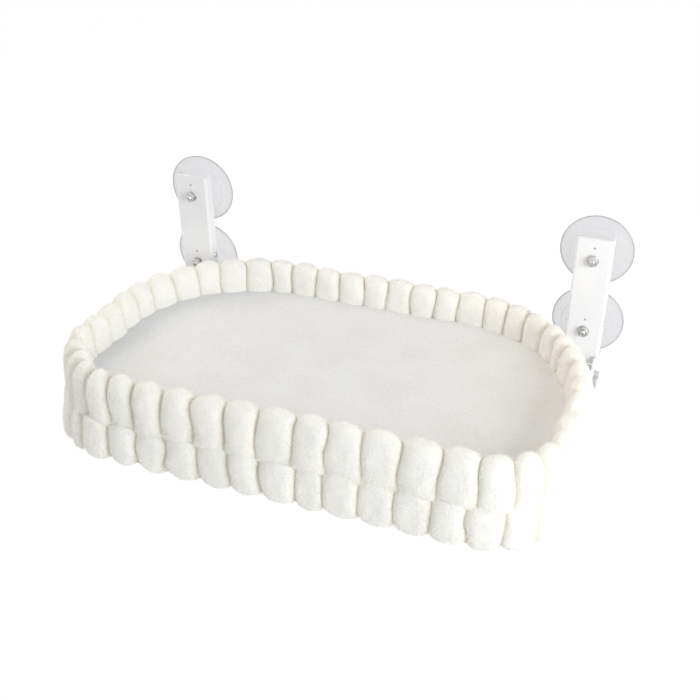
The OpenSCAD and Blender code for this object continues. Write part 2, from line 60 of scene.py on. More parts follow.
class Wire:
    """A socket that gives a value; plain arithmetic on it adds Math nodes."""

    def __init__(self, graph: "Graph", socket: bpy.types.NodeSocket) -> None:
        """Wraps a socket of a graph.

        Args:
            graph: the graph that owns the socket.
            socket: an output socket.
        """
        self.graph = graph
        self.socket = socket

    def math(self, operation: str, *others: Any, clamp: bool = False) -> "Wire":
        """Adds one Math node whose first input is this wire.

        Args:
            operation: the node's operation.
            others: values or wires for the other inputs.
            clamp: whether the result is kept from 0 to 1.

        Returns:
            The node's result.
        """
        settings = {"operation": operation, "use_clamp": clamp}
        return self.graph.wire("ShaderNodeMath", settings, dict(enumerate((self, *others))))

    def __add__(self, other: Any) -> "Wire":
        """Sum."""
        return self.math("ADD", other)

    __radd__ = __add__

    def __mul__(self, other: Any) -> "Wire":
        """Product."""
        return self.math("MULTIPLY", other)

    __rmul__ = __mul__

    def __sub__(self, other: Any) -> "Wire":
        """Difference."""
        return self.math("SUBTRACT", other)

    def __rsub__(self, other: float) -> "Wire":
        """Difference from a number."""
        return self.math("MULTIPLY", -1.0).math("ADD", other)

    def __rtruediv__(self, other: float) -> "Wire":
        """A number divided by this."""
        return self.math("POWER", -1.0).math("MULTIPLY", other)

    def __pow__(self, other: Any) -> "Wire":
        """Power."""
        return self.math("POWER", other)

    def limited(self) -> "Wire":
        """This value kept from 0 to 1."""
        return self.math("ADD", 0.0, clamp=True)

    def span(self, low: float, high: float) -> "Wire":
        """Smooth step that is 0 at low and 1 at high.

        Args:
            low: the value that gives 0.
            high: the value that gives 1.

        Returns:
            The stepped value.
        """
        settings = {"interpolation_type": "SMOOTHSTEP"}
        values = {"Value": self, "From Min": low, "From Max": high}
        return self.graph.wire("ShaderNodeMapRange", settings, values)


class Graph:
    """A node tree with one way to add any node."""

    def __init__(self, tree: bpy.types.NodeTree) -> None:
        """Wraps a tree.

        Args:
            tree: a shader or geometry node tree.
        """
        self.tree = tree

    def node(self, kind: str, settings: dict[str, Any] | None = None,
             values: dict[Any, Any] | None = None) -> bpy.types.Node:
        """Adds a node.

        Args:
            kind: the node's type.
            settings: its properties, which are set first.
            values: numbers, wires or sockets for its inputs, by name or number.

        Returns:
            The node.
        """
        made = self.tree.nodes.new(kind)
        for name, value in (settings or {}).items():
            setattr(made, name, value)
        for key, value in (values or {}).items():
            self.put(value, made.inputs[key])
        return made

    def put(self, value: Any, socket: bpy.types.NodeSocket) -> None:
        """Gives an input its value.

        Args:
            value: a number, colour or object, or a wire or socket to link.
            socket: the input.
        """
        if isinstance(value, Wire):
            self.tree.links.new(value.socket, socket)
        elif isinstance(value, bpy.types.NodeSocket):
            self.tree.links.new(value, socket)
        else:
            socket.default_value = value

    def wire(self, kind: str, settings: dict[str, Any] | None = None,
             values: dict[Any, Any] | None = None, output: Any = 0) -> Wire:
        """Adds a node and gives one of its outputs.

        Args:
            kind: the node's type.
            settings: its properties.
            values: values of its inputs.
            output: the output's name or number.

        Returns:
            The output as a wire.
        """
        return Wire(self, self.node(kind, settings, values).outputs[output])

    def blend(self, factor: Any, first: Any, second: Any) -> Wire:
        """Mixes two colours.

        Args:
            factor: 0 for the first, 1 for the second.
            first: a colour or a wire.
            second: a colour or a wire.

        Returns:
            The mixed colour.
        """
        settings = {"data_type": "RGBA", "clamp_factor": True}
        ends = [v if isinstance(v, Wire) else (*v, 1.0) for v in (first, second)]
        return self.wire("ShaderNodeMix", settings, {0: factor, 6: ends[0], 7: ends[1]}, 2)

    def split(self, vector: Wire) -> list[Wire]:
        """The three parts of a vector.

        Args:
            vector: the vector.

        Returns:
            Wires of its x, y and z.
        """
        parts = self.node("ShaderNodeSeparateXYZ", None, {0: vector})
        return [Wire(self, part) for part in parts.outputs]


def fresh_graph(owner: bpy.types.Material | bpy.types.World) -> Graph:
    """Empties the node tree of a material or a world and wraps it.

    Args:
        owner: the material or world.

    Returns:
        Its graph.
    """
    owner.use_nodes = True
    owner.node_tree.nodes.clear()
    return Graph(owner.node_tree)


def geometry_graph(name: str, inputs: dict[str, str], output: str) -> tuple[Graph, bpy.types.Node]:
    """Starts a geometry tree.

    Args:
        name: the tree's name.
        inputs: the kind of each named input.
        output: the name of the geometry that it gives.

    Returns:
        The tree's graph, and the node that holds its inputs.
    """
    tree = bpy.data.node_groups.new(name, "GeometryNodeTree")
    for label, kind in inputs.items():
        tree.interface.new_socket(label, in_out="INPUT", socket_type=f"NodeSocket{kind}")
    tree.interface.new_socket(output, in_out="OUTPUT", socket_type="NodeSocketGeometry")
    graph = Graph(tree)
    return graph, graph.node("NodeGroupInput")


# Finishes


@dataclass(frozen=True)
class Finish:
    """What every finish of the perch has.

    Attributes:
        name: the material's name.
        slot: the record's material slot; not used.
        colour: the main colour, linear.
        roughness: the mean roughness.
    """

    name: str
    slot: str
    colour: Colour
    roughness: float

    def material(self) -> bpy.types.Material:
        """Makes the material once and gives it each time.

        Returns:
            The material.
        """
        known = bpy.data.materials.get(self.name)
        if known is not None:
            return known
        made = bpy.data.materials.new(self.name)
        graph = fresh_graph(made)
        shader = graph.node("ShaderNodeBsdfPrincipled", None, {
            "Base Color": (*self.colour, 1.0), "Roughness": self.roughness})
        surface = self.dress(graph, shader)
        graph.node("ShaderNodeOutputMaterial", None, {"Surface": surface})
        return made

    def dress(self, graph: Graph, shader: bpy.types.Node) -> bpy.types.NodeSocket:
        """Adds the finish's detail; a plain finish has none.

        Args:
            graph: the material's graph.
            shader: its Principled node.

        Returns:
            The socket that is the surface.
        """
        return shader.outputs[0]

    def toned(self, factor: float) -> Colour:
        """The main colour made darker or lighter by a factor."""
        return tuple(min(1.0, part * factor) for part in self.colour)

    @staticmethod
    def place(graph: Graph) -> Wire:
        """The object's own coordinates, in metres."""
        return graph.wire("ShaderNodeTexCoord", None, None, "Object")

    @staticmethod
    def noise(graph: Graph, place: Wire, scale: float, detail: float = 2.0,
              roughness: float = 0.5) -> Wire:
        """Noise from 0 to 1.

        Args:
            graph: the material's graph.
            place: where the noise is read.
            scale: waves to a metre.
            detail: how many finer octaves are added.
            roughness: how strong they are.

        Returns:
            The noise.
        """
        values = {"Vector": place, "Scale": scale, "Detail": detail, "Roughness": roughness}
        return graph.wire("ShaderNodeTexNoise", None, values)

    @staticmethod
    def bump(graph: Graph, shader: bpy.types.Node, height: Wire, depth: float,
             strength: float = 1.0) -> None:
        """Feeds a height to the shader's normal.

        Args:
            graph: the material's graph.
            shader: its Principled node.
            height: the height, from 0 to 1.
            depth: what a height of 1 is in metres.
            strength: how much of it shows.
        """
        values = {"Height": height, "Distance": depth, "Strength": strength}
        graph.put(graph.wire("ShaderNodeBump", None, values, "Normal"), shader.inputs["Normal"])

    @staticmethod
    def feed(graph: Graph, shader: bpy.types.Node, **values: Any) -> None:
        """Sets the shader's inputs.

        Args:
            graph: the material's graph.
            shader: its Principled node.
            values: wires or numbers by the input's name, with underscores for spaces.
        """
        for name, value in values.items():
            graph.put(value, shader.inputs[name.replace("_", " ")])


@dataclass(frozen=True)
class PowderCoat(Finish):
    """White powder coat on steel, with a fine orange peel.

    Attributes:
        cloud: clouds to a metre in its tone and gloss.
        cloud_tone: how dark they are.
        peel: waves of the orange peel to a metre.
        peel_depth: their depth in metres.
        coat: share of the glossy top layer.
        coat_roughness: its roughness.
    """

    cloud: float = 26.0
    cloud_tone: float = 0.955
    peel: float = 420.0
    peel_depth: float = 0.12 * MM
    coat: float = 0.15
    coat_roughness: float = 0.3

    def dress(self, graph: Graph, shader: bpy.types.Node) -> bpy.types.NodeSocket:
        """Adds peel, faint clouding and uneven gloss.

        Args:
            graph: the material's graph.
            shader: its Principled node.

        Returns:
            The socket that is the surface.
        """
        place = self.place(graph)
        cloud = self.noise(graph, place, self.cloud, 3.0)
        peel = self.noise(graph, place, self.peel, 2.0, 0.45)
        colour = graph.blend(cloud.span(0.35, 0.7), self.colour, self.toned(self.cloud_tone))
        gloss = self.roughness + 0.1 * (cloud - 0.5) + 0.05 * peel
        self.feed(graph, shader, Base_Color=colour, Roughness=gloss,
                  Coat_Weight=self.coat, Coat_Roughness=self.coat_roughness)
        self.bump(graph, shader, peel, self.peel_depth, 0.5)
        return shader.outputs[0]


@dataclass(frozen=True)
class ZincPlate(Finish):
    """Bright zinc on small steel parts, with uneven tone and dull specks.

    Attributes:
        patch: patches of tone to a metre.
        patch_tone: how dark they are.
        speck: specks to a metre.
        speck_depth: their depth in metres.
    """

    patch: float = 160.0
    patch_tone: float = 0.62
    speck: float = 1400.0
    speck_depth: float = 0.04 * MM

    def dress(self, graph: Graph, shader: bpy.types.Node) -> bpy.types.NodeSocket:
        """Adds tone, specks and a fine grain.

        Args:
            graph: the material's graph.
            shader: its Principled node.

        Returns:
            The socket that is the surface.
        """
        place = self.place(graph)
        tone = self.noise(graph, place, self.patch, 3.0)
        specks = self.noise(graph, place, self.speck, 2.0, 0.6)
        colour = graph.blend(tone.span(0.45, 0.75), self.colour, self.toned(self.patch_tone))
        gloss = self.roughness + 0.16 * (specks - 0.5) + 0.1 * (tone - 0.5)
        self.feed(graph, shader, Metallic=1.0, Base_Color=colour, Roughness=gloss)
        self.bump(graph, shader, specks, self.speck_depth, 0.5)
        return shader.outputs[0]


@dataclass(frozen=True)
class ClearVinyl(Finish):
    """Clear, slightly smoky soft vinyl: thin walls let the light through, edges look denser, and
    the rim gets painted shade for its refraction.

    Attributes:
        clear_tint: what a clear wall lets through.
        rim_shade_tint: the painted shade colour of the dense outer rim, standing in for the dark
            look that its refraction gives.
        least: share of the skin where the wall is seen face on.
        most: share of the skin where it is seen edge on.
        rim_share: what the dense rim adds to the share.
        coat: share of the glossy top layer.
        coat_roughness: its roughness.
        wave: waves of the uneven skin to a metre.
        wave_depth: their depth in metres.
    """

    clear_tint: Colour = (0.895, 0.895, 0.905)
    rim_shade_tint: Colour = (0.3, 0.3, 0.31)
    least: float = 0.1
    most: float = 0.62
    rim_share: float = 0.4
    coat: float = 0.5
    coat_roughness: float = 0.06
    wave: float = 45.0
    wave_depth: float = 0.5 * MM

    def dress(self, graph: Graph, shader: bpy.types.Node) -> bpy.types.NodeSocket:
        """Mixes a glossy skin with clear, more of the skin where the wall is seen edge on.

        Args:
            graph: the material's graph.
            shader: its Principled node.

        Returns:
            The socket that is the surface.
        """
        place = self.place(graph)
        waves = self.noise(graph, place, self.wave, 2.0)
        self.bump(graph, shader, waves, self.wave_depth, 0.35)
        facing = graph.wire("ShaderNodeLayerWeight", None, {"Blend": 0.35}, "Facing")
        rim = graph.wire("ShaderNodeAttribute", {"attribute_name": "rim"}, None, "Fac")
        clear = graph.node("ShaderNodeBsdfTransparent", None, {"Color": (*self.clear_tint, 1.0)})
        # Painted shade: the rim value darkens the cup's thick outer edge and its inner step, where
        # refraction darkens them.
        self.feed(graph, shader, Base_Color=graph.blend(rim, self.colour, self.rim_shade_tint),
                  Roughness=self.roughness + 0.08 * (waves - 0.5),
                  Coat_Weight=self.coat, Coat_Roughness=self.coat_roughness)
        edge_on = (self.most - self.least) * facing ** 1.6
        share = self.least + edge_on + 0.05 * (waves - 0.5) + self.rim_share * rim
        mixed = graph.node("ShaderNodeMixShader", None, {
            0: share.limited(), 1: clear.outputs[0], 2: shader.outputs[0]})
        return mixed.outputs[0]


@dataclass(frozen=True)
class Moulded(Finish):
    """Moulded nylon with a fine spark texture.

    Attributes:
        cloud: clouds to a metre in its tone.
        cloud_tone: how light they are.
        grain: grains of the spark texture to a metre.
        grain_depth: their depth in metres.
    """

    cloud: float = 60.0
    cloud_tone: float = 1.15
    grain: float = 900.0
    grain_depth: float = 0.08 * MM

    def dress(self, graph: Graph, shader: bpy.types.Node) -> bpy.types.NodeSocket:
        """Adds grain and a slight unevenness of colour.

        Args:
            graph: the material's graph.
            shader: its Principled node.

        Returns:
            The socket that is the surface.
        """
        place = self.place(graph)
        grain = self.noise(graph, place, self.grain, 2.0, 0.6)
        cloud = self.noise(graph, place, self.cloud)
        colour = graph.blend(cloud, self.colour, self.toned(self.cloud_tone))
        self.feed(graph, shader, Base_Color=colour,
                  Roughness=self.roughness + 0.12 * (grain - 0.5))
        self.bump(graph, shader, grain, self.grain_depth, 0.6)
        return shader.outputs[0]


@dataclass(frozen=True)
class Plywood(Finish):
    """Birch plywood: long grain on the faces, dark glue lines on the edges.

    Attributes:
        plies: how many plies the board has.
        thickness: its thickness in metres.
        stretch: scale of the grain along each axis.
        grain_tone: how dark the grain is.
        glue_tone: how dark a glue line is.
        grain_depth: depth of the grain in metres.
    """

    plies: float = 5.0
    thickness: float = 8 * MM
    stretch: Place = (3.0, 60.0, 60.0)
    grain_tone: float = 0.6
    glue_tone: float = 0.45
    grain_depth: float = 0.1 * MM

    def dress(self, graph: Graph, shader: bpy.types.Node) -> bpy.types.NodeSocket:
        """Adds grain along the board and plies across its edge.

        Args:
            graph: the material's graph.
            shader: its Principled node.

        Returns:
            The socket that is the surface.
        """
        place = self.place(graph)
        values = {"Vector": place, "Scale": self.stretch}
        grain = self.noise(graph, graph.wire("ShaderNodeMapping", None, values), 4.0, 5.0, 0.6)
        level = graph.split(place)[2] * (self.plies * math.pi / self.thickness)
        ply = level.math("SINE") * 0.5 + 0.5
        glue = (1.0 - ply.span(0.0, 0.12)) * 0.8
        veneer = graph.blend(grain.span(0.35, 0.75), self.colour, self.toned(self.grain_tone))
        self.feed(graph, shader, Base_Color=graph.blend(glue, veneer, self.toned(self.glue_tone)),
                  Roughness=self.roughness + 0.15 * (grain - 0.5))
        self.bump(graph, shader, grain, self.grain_depth, 0.6)
        return shader.outputs[0]


@dataclass(frozen=True)
class Woven(Finish):
    """Plain-woven cloth: two crossed sets of threads.

    Attributes:
        threads: threads to a metre.
        thread_depth: their depth in metres.
        slub: thicker places of the threads to a metre.
        gap_tone: how dark the cloth is between its threads.
        sheen: strength of its sheen.
    """

    threads: float = 1700.0
    thread_depth: float = 0.25 * MM
    slub: float = 120.0
    gap_tone: float = 0.78
    sheen: float = 0.15

    def dress(self, graph: Graph, shader: bpy.types.Node) -> bpy.types.NodeSocket:
        """Adds crossed threads, slubs and a soft sheen.

        Args:
            graph: the material's graph.
            shader: its Principled node.

        Returns:
            The socket that is the surface.
        """
        place = self.place(graph)
        x, y, z = graph.split(place)
        warp, weft = ((run * (self.threads * math.pi)).math("SINE").math("ABSOLUTE")
                      for run in (x, y + z))
        slub = self.noise(graph, place, self.slub, 3.0)
        height = (warp * weft) * 0.8 + slub * 0.3
        colour = graph.blend(1.0 - height, self.colour, self.toned(self.gap_tone))
        self.feed(graph, shader, Base_Color=colour, Roughness=self.roughness - 0.08 * height,
                  Sheen_Weight=self.sheen)
        self.bump(graph, shader, height, self.thread_depth, 0.8)
        return shader.outputs[0]


@dataclass(frozen=True)
class OpenFoam(Finish):
    """Open-cell foam with small pores.

    Attributes:
        pore: pores to a metre.
        pore_depth: their depth in metres.
        pore_tone: how dark they are.
    """

    pore: float = 900.0
    pore_depth: float = 0.4 * MM
    pore_tone: float = 0.55

    def dress(self, graph: Graph, shader: bpy.types.Node) -> bpy.types.NodeSocket:
        """Adds pores.

        Args:
            graph: the material's graph.
            shader: its Principled node.

        Returns:
            The socket that is the surface.
        """
        values = {"Vector": self.place(graph), "Scale": self.pore}
        pores = graph.wire("ShaderNodeTexVoronoi", None, values, "Distance").span(0.1, 0.6)
        colour = graph.blend(pores, self.toned(self.pore_tone), self.colour)
        self.feed(graph, shader, Base_Color=colour)
        self.bump(graph, shader, pores, self.pore_depth, 0.7)
        return shader.outputs[0]


@dataclass(frozen=True)
class FlatPile(Finish):
    """Short, flat pile of the pad: a dense nap with faint brushed patches.

    Attributes:
        shade: the colour between the hairs.
        nap: hairs to a metre.
        tuft: tufts of hairs to a metre.
        patch: brushed patches to a metre.
        pile_depth: depth of the pile in metres.
        sheen: strength of its sheen.
        sheen_roughness: how soft the sheen is.
    """

    shade: Colour = (0.7, 0.68, 0.64)
    nap: float = 900.0
    tuft: float = 260.0
    patch: float = 18.0
    pile_depth: float = 1.1 * MM
    sheen: float = 0.2
    sheen_roughness: float = 0.6

    def dress(self, graph: Graph, shader: bpy.types.Node) -> bpy.types.NodeSocket:
        """Adds the nap, brushed patches and a soft sheen.

        Args:
            graph: the material's graph.
            shader: its Principled node.

        Returns:
            The socket that is the surface.
        """
        place = self.place(graph)
        nap = self.noise(graph, place, self.nap, 3.0, 0.65)
        tufts = self.noise(graph, place, self.tuft, 3.0, 0.6)
        patch = self.noise(graph, place, self.patch, 2.0)
        shade = (0.28 * nap.span(0.62, 0.3) + 0.22 * tufts.span(0.6, 0.35)
                 + 0.16 * patch.span(0.4, 0.65))
        self.feed(graph, shader, Base_Color=graph.blend(shade, self.colour, self.shade),
                  Sheen_Weight=self.sheen, Sheen_Roughness=self.sheen_roughness)
        self.bump(graph, shader, nap * 0.45 + tufts * 0.55, self.pile_depth, 0.6)
        return shader.outputs[0]


@dataclass(frozen=True)
class BubblePlush(Finish):
    """Soft plush of the ribs: pale tips, with painted warm shade down in the grooves.

    Attributes:
        groove_shade_colour: the painted shade colour at the bottom of a groove.
        soft_tone: how dark the pile is between its tips.
        pile: hairs to a metre.
        clump: clumps of hairs to a metre.
        mottle: faint patches to a metre.
        pile_depth: depth of the pile in metres.
        sheen: strength of its sheen.
        sheen_roughness: how soft the sheen is.
    """

    groove_shade_colour: Colour = (0.9, 0.865, 0.72)
    soft_tone: float = 0.94
    pile: float = 750.0
    clump: float = 150.0
    mottle: float = 48.0
    pile_depth: float = 0.6 * MM
    sheen: float = 0.3
    sheen_roughness: float = 0.5

    def dress(self, graph: Graph, shader: bpy.types.Node) -> bpy.types.NodeSocket:
        """Adds pile, clumps and the painted warm shade in the grooves.

        Args:
            graph: the material's graph.
            shader: its Principled node.

        Returns:
            The socket that is the surface.
        """
        place = self.place(graph)
        groove = graph.wire("ShaderNodeAttribute", {"attribute_name": "groove"}, None, "Fac")
        pile = self.noise(graph, place, self.pile, 3.0, 0.65)
        clump = self.noise(graph, place, self.clump, 3.0, 0.6)
        mottle = self.noise(graph, place, self.mottle, 2.0)
        shade = (0.35 * pile.span(0.62, 0.3) + 0.3 * clump.span(0.6, 0.35)
                 + 0.35 * mottle.span(0.6, 0.4))
        surface = graph.blend(shade, self.colour, self.toned(self.soft_tone))
        # Painted shade: the colour turns warmer and darker the further a point lies down in its
        # groove.
        depth = (groove ** 1.6 + 0.12 * (mottle - 0.5)).limited()
        self.feed(graph, shader, Base_Color=graph.blend(depth * 0.85, surface, self.groove_shade_colour),
                  Sheen_Weight=self.sheen, Sheen_Roughness=self.sheen_roughness)
        self.bump(graph, shader, pile * 0.6 + clump * 0.4, self.pile_depth, 0.3)
        return shader.outputs[0]


WHITE_STEEL = PowderCoat("White_Powder_Coat", "white_steel", (0.925, 0.928, 0.94), 0.42)
ZINC = ZincPlate("Zinc_Plate", "zinc_steel", (0.68, 0.68, 0.68), 0.36)
CLEAR_CUP = ClearVinyl("Clear_Vinyl", "clear_pvc", (0.72, 0.73, 0.75), 0.18)
GREY_NYLON = Moulded("Grey_Nylon", "grey_nylon", (0.1, 0.1, 0.105), 0.5)
WHITE_NYLON = Moulded("White_Nylon", "white_nylon", (0.78, 0.78, 0.78), 0.5)
BIRCH = Plywood("Birch_Plywood", "birch_board", (0.62, 0.44, 0.25), 0.6)
LINING = Woven("Lining_Cloth", "lining_cloth", (0.74, 0.73, 0.7), 0.85)
FOAM = OpenFoam("Pale_Foam", "pale_foam", (0.82, 0.79, 0.62), 0.95)
PAD_PILE = FlatPile("Flat_Pile", "flat_pile", (0.82, 0.834, 0.85), 0.95)
PLUSH = BubblePlush("Bubble_Plush", "bubble_plush", (0.966, 0.957, 0.927), 0.95)


# Meshes


def new_object(name: str, mesh: bpy.types.Mesh) -> bpy.types.Object:
    """Adds an object to the scene.

    Args:
        name: the object's name.
        mesh: its mesh.

    Returns:
        The object.
    """
    made = bpy.data.objects.new(name, mesh)
    bpy.context.scene.collection.objects.link(made)
    return made


def mesh_of(name: str, points: np.ndarray, faces: Sequence[Sequence[int]]) -> bpy.types.Mesh:
    """Makes a smooth mesh.

    Args:
        name: the mesh's name.
        points: one row for each vertex, in metres.
        faces: the corners of each face.

    Returns:
        The mesh.
    """
    mesh = bpy.data.meshes.new(name)
    mesh.from_pydata(np.asarray(points, float).tolist(), [], [list(map(int, f)) for f in faces])
    mesh.polygons.foreach_set("use_smooth", [True] * len(mesh.polygons))
    mesh.update()
    return mesh


def grid_faces(rows: int, columns: int, round_rows: bool, round_columns: bool) -> np.ndarray:
    """Faces of a grid of points.

    Args:
        rows: how many rows of points.
        columns: how many points in a row.
        round_rows: whether the last row joins the first.
        round_columns: whether the last column joins the first.

    Returns:
        Four corners for each face.
    """
    i = np.arange(rows if round_rows else rows - 1)
    j = np.arange(columns if round_columns else columns - 1)
    a, b = np.meshgrid(i, j, indexing="ij")
    a2, b2 = (a + 1) % rows, (b + 1) % columns
    corners = [a * columns + b, a2 * columns + b, a2 * columns + b2, a * columns + b2]
    return np.stack(corners, -1).reshape(-1, 4)


def point_outwards(mesh: bpy.types.Mesh) -> None:
    """Turns the faces of a closed mesh outwards.

    Args:
        mesh: the mesh.
    """
    work = bmesh.new()
    work.from_mesh(mesh)
    bmesh.ops.recalc_face_normals(work, faces=work.faces)
    if work.calc_volume(signed=True) < 0:
        bmesh.ops.reverse_faces(work, faces=work.faces)
    work.to_mesh(mesh)
    work.free()


def add_value(mesh: bpy.types.Mesh, name: str, values: np.ndarray) -> None:
    """Stores one number, or one vector, at each vertex.

    Args:
        mesh: the mesh.
        name: the attribute's name.
        values: one number or row for each vertex.
    """
    vector = values.ndim == 2
    layer = mesh.attributes.new(name, "FLOAT_VECTOR" if vector else "FLOAT", "POINT")
    layer.data.foreach_set("vector" if vector else "value", values.astype(np.float32).ravel())


def finished(piece: bpy.types.Object, finish: Finish, body: str, *nodes: str) -> bpy.types.Object:
    """Gives a piece its finish, its body and the CAD nodes that it stands for.

    Args:
        piece: the object.
        finish: its finish.
        body: the body that carries it.
        nodes: the CAD nodes that it replaces.

    Returns:
        The object.
    """
    piece.data.materials.clear()
    piece.data.materials.append(finish.material())
    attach(piece, body)
    if nodes:
        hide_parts(*nodes)
    LOG.info("%s: %d faces, on %s", piece.name, len(piece.data.polygons), body)
    return piece


def keep_result(piece: bpy.types.Object) -> None:
    """Keeps the result of a piece's modifiers as its plain mesh and removes them.

    Args:
        piece: the object.
    """
    depsgraph = bpy.context.evaluated_depsgraph_get()
    depsgraph.update()
    made = bpy.data.meshes.new_from_object(piece.evaluated_get(depsgraph))
    piece.modifiers.clear()
    old = piece.data
    piece.data = made
    bpy.data.meshes.remove(old)


def apply_tree(piece: bpy.types.Object, tree: bpy.types.NodeTree, inputs: dict[str, Any]) -> None:
    """Runs a geometry tree on a piece and keeps the result as its plain mesh.

    Args:
        piece: the object.
        tree: the geometry node tree.
        inputs: values of the tree's named inputs.
    """
    modifier = piece.modifiers.new("made", "NODES")
    modifier.node_group = tree
    for item in tree.interface.items_tree:
        if item.item_type == "SOCKET" and item.in_out == "INPUT" and item.name in inputs:
            modifier[item.identifier] = inputs[item.name]
    keep_result(piece)


# The bed's outline


def bell(values: np.ndarray, middle: float, spread: float) -> np.ndarray:
    """1 at a middle value, falling smoothly to 0 on both sides."""
    return np.exp(-((values - middle) / spread) ** 2)


def rise(values: np.ndarray, start: float, reach: float) -> np.ndarray:
    """0 up to a start, then rising evenly to 1 over a reach."""
    return np.clip((values - start) / reach, 0, 1)


@dataclass(frozen=True)
class Outline:
    """The bed's outline over the plush, in millimetres: straight sides joined by arcs.

    Distances along it start in the middle of the front and grow towards the right.

    Attributes:
        half_w: half the width.
        front_y: place of the front.
        back_y: place of the back.
        front_r: radius of the front corners.
        back_r: radius of the back corners.
    """

    half_w: float = 275.0
    front_y: float = -327.0
    back_y: float = -5.0
    front_r: float = 88.0
    back_r: float = 170.0

    @property
    def ends(self) -> list[float]:
        """Where the stretches of the right half end.

        Returns:
            The ends of the front, the arc, the side, the arc and the back.
        """
        stretches = [self.half_w - self.front_r, self.front_r * math.pi / 2,
                     self.back_y - self.front_y - self.front_r - self.back_r,
                     self.back_r * math.pi / 2, self.half_w - self.back_r]
        return np.cumsum(stretches).tolist()

    @property
    def length(self) -> float:
        """The whole way round."""
        return 2 * self.ends[-1]

    def signed(self, along: np.ndarray) -> np.ndarray:
        """The same distances counted both ways from the middle of the front."""
        half = self.length / 2
        return np.mod(along + half, self.length) - half

    def at(self, along: np.ndarray) -> tuple[np.ndarray, np.ndarray, np.ndarray]:
        """Places on the outline.

        Args:
            along: distances along the outline.

        Returns:
            Points, outward directions, and curvature, one to a distance.
        """
        wrapped = np.mod(along, self.length)
        left = wrapped > self.length / 2
        q = np.where(left, self.length - wrapped, wrapped)
        front, front_arc, side, back_arc, _ = self.ends
        x0, x1 = self.half_w - self.front_r, self.half_w - self.back_r
        y0, y1 = self.front_y + self.front_r, self.back_y - self.back_r
        turn_front = (q - front) / self.front_r - math.pi / 2
        turn_back = (q - side) / self.back_r
        where = [q < front, q < front_arc, q < side, q < back_arc]
        zero, one = np.zeros_like(q), np.ones_like(q)
        x = np.select(where, [q, x0 + self.front_r * np.cos(turn_front), self.half_w * one,
                              x1 + self.back_r * np.cos(turn_back)], x1 - (q - back_arc))
        y = np.select(where, [self.front_y * one, y0 + self.front_r * np.sin(turn_front),
                              y0 + q - front_arc, y1 + self.back_r * np.sin(turn_back)],
                      self.back_y)
        nx = np.select(where, [zero, np.cos(turn_front), one, np.cos(turn_back)], 0.0)
        ny = np.select(where, [-one, np.sin(turn_front), zero, np.sin(turn_back)], 1.0)
        bend = np.select(where, [zero, one / self.front_r, zero, one / self.back_r], 0.0)
        sign = np.where(left, -1.0, 1.0)
        return np.stack([x * sign, y], -1), np.stack([nx * sign, ny], -1), bend

    def eased_bend(self, along: np.ndarray, reach: float = 24.0, count: int = 13) -> np.ndarray:
        """Curvature averaged over a reach to each side.

        Args:
            along: distances along the outline.
            reach: how far the mean goes to each side.
            count: how many places it takes in.

        Returns:
            The mean curvature at each distance.
        """
        steps = np.linspace(-reach, reach, count)
        return np.mean([self.at(along + step)[2] for step in steps], 0)


OUTLINE = Outline()


def rounded_path(points: Sequence[Pair], count: int, fineness: int = 24) -> np.ndarray:
    """A smooth closed curve through points, cut into even steps.

    Args:
        points: the points that it passes.
        count: how many points come back.
        fineness: how many short pieces measure it between two points.

    Returns:
        Points on the curve.
    """
    p = np.array(points, float)
    steps = np.linspace(0, 1, fineness, endpoint=False)[:, None]
    parts = []
    for i in range(len(p)):
        a, b, c, d = p[i - 1], p[i], p[(i + 1) % len(p)], p[(i + 2) % len(p)]
        parts.append(0.5 * (2 * b + (c - a) * steps + (2 * a - 5 * b + 4 * c - d) * steps ** 2
                            + (3 * b - a - 3 * c + d) * steps ** 3))
    dense = np.concatenate(parts)
    closed = np.vstack([dense, dense[:1]])
    run = np.concatenate([[0], np.cumsum(np.linalg.norm(np.diff(closed, axis=0), axis=1))])
    wanted = np.linspace(0, run[-1], count, endpoint=False)
    return np.stack([np.interp(wanted, run, closed[:, k]) for k in (0, 1)], -1)


# Plush


# How steeply a rib's side falls into its groove
CREST_POWER = 0.68
# Distance between the noises of the lumps, the clumps and the fluff
NOISE_STEP = 7.3
# A tuft of fuzz: radius of its foot as a share of its length, least and greatest size, and how
# far it may lean and turn, in radians
TUFT_SLIMNESS = 0.11
TUFT_SIZES: Pair = (0.5, 1.15)
TUFT_LEAN: Place = (0.75, 0.75, 3.0)


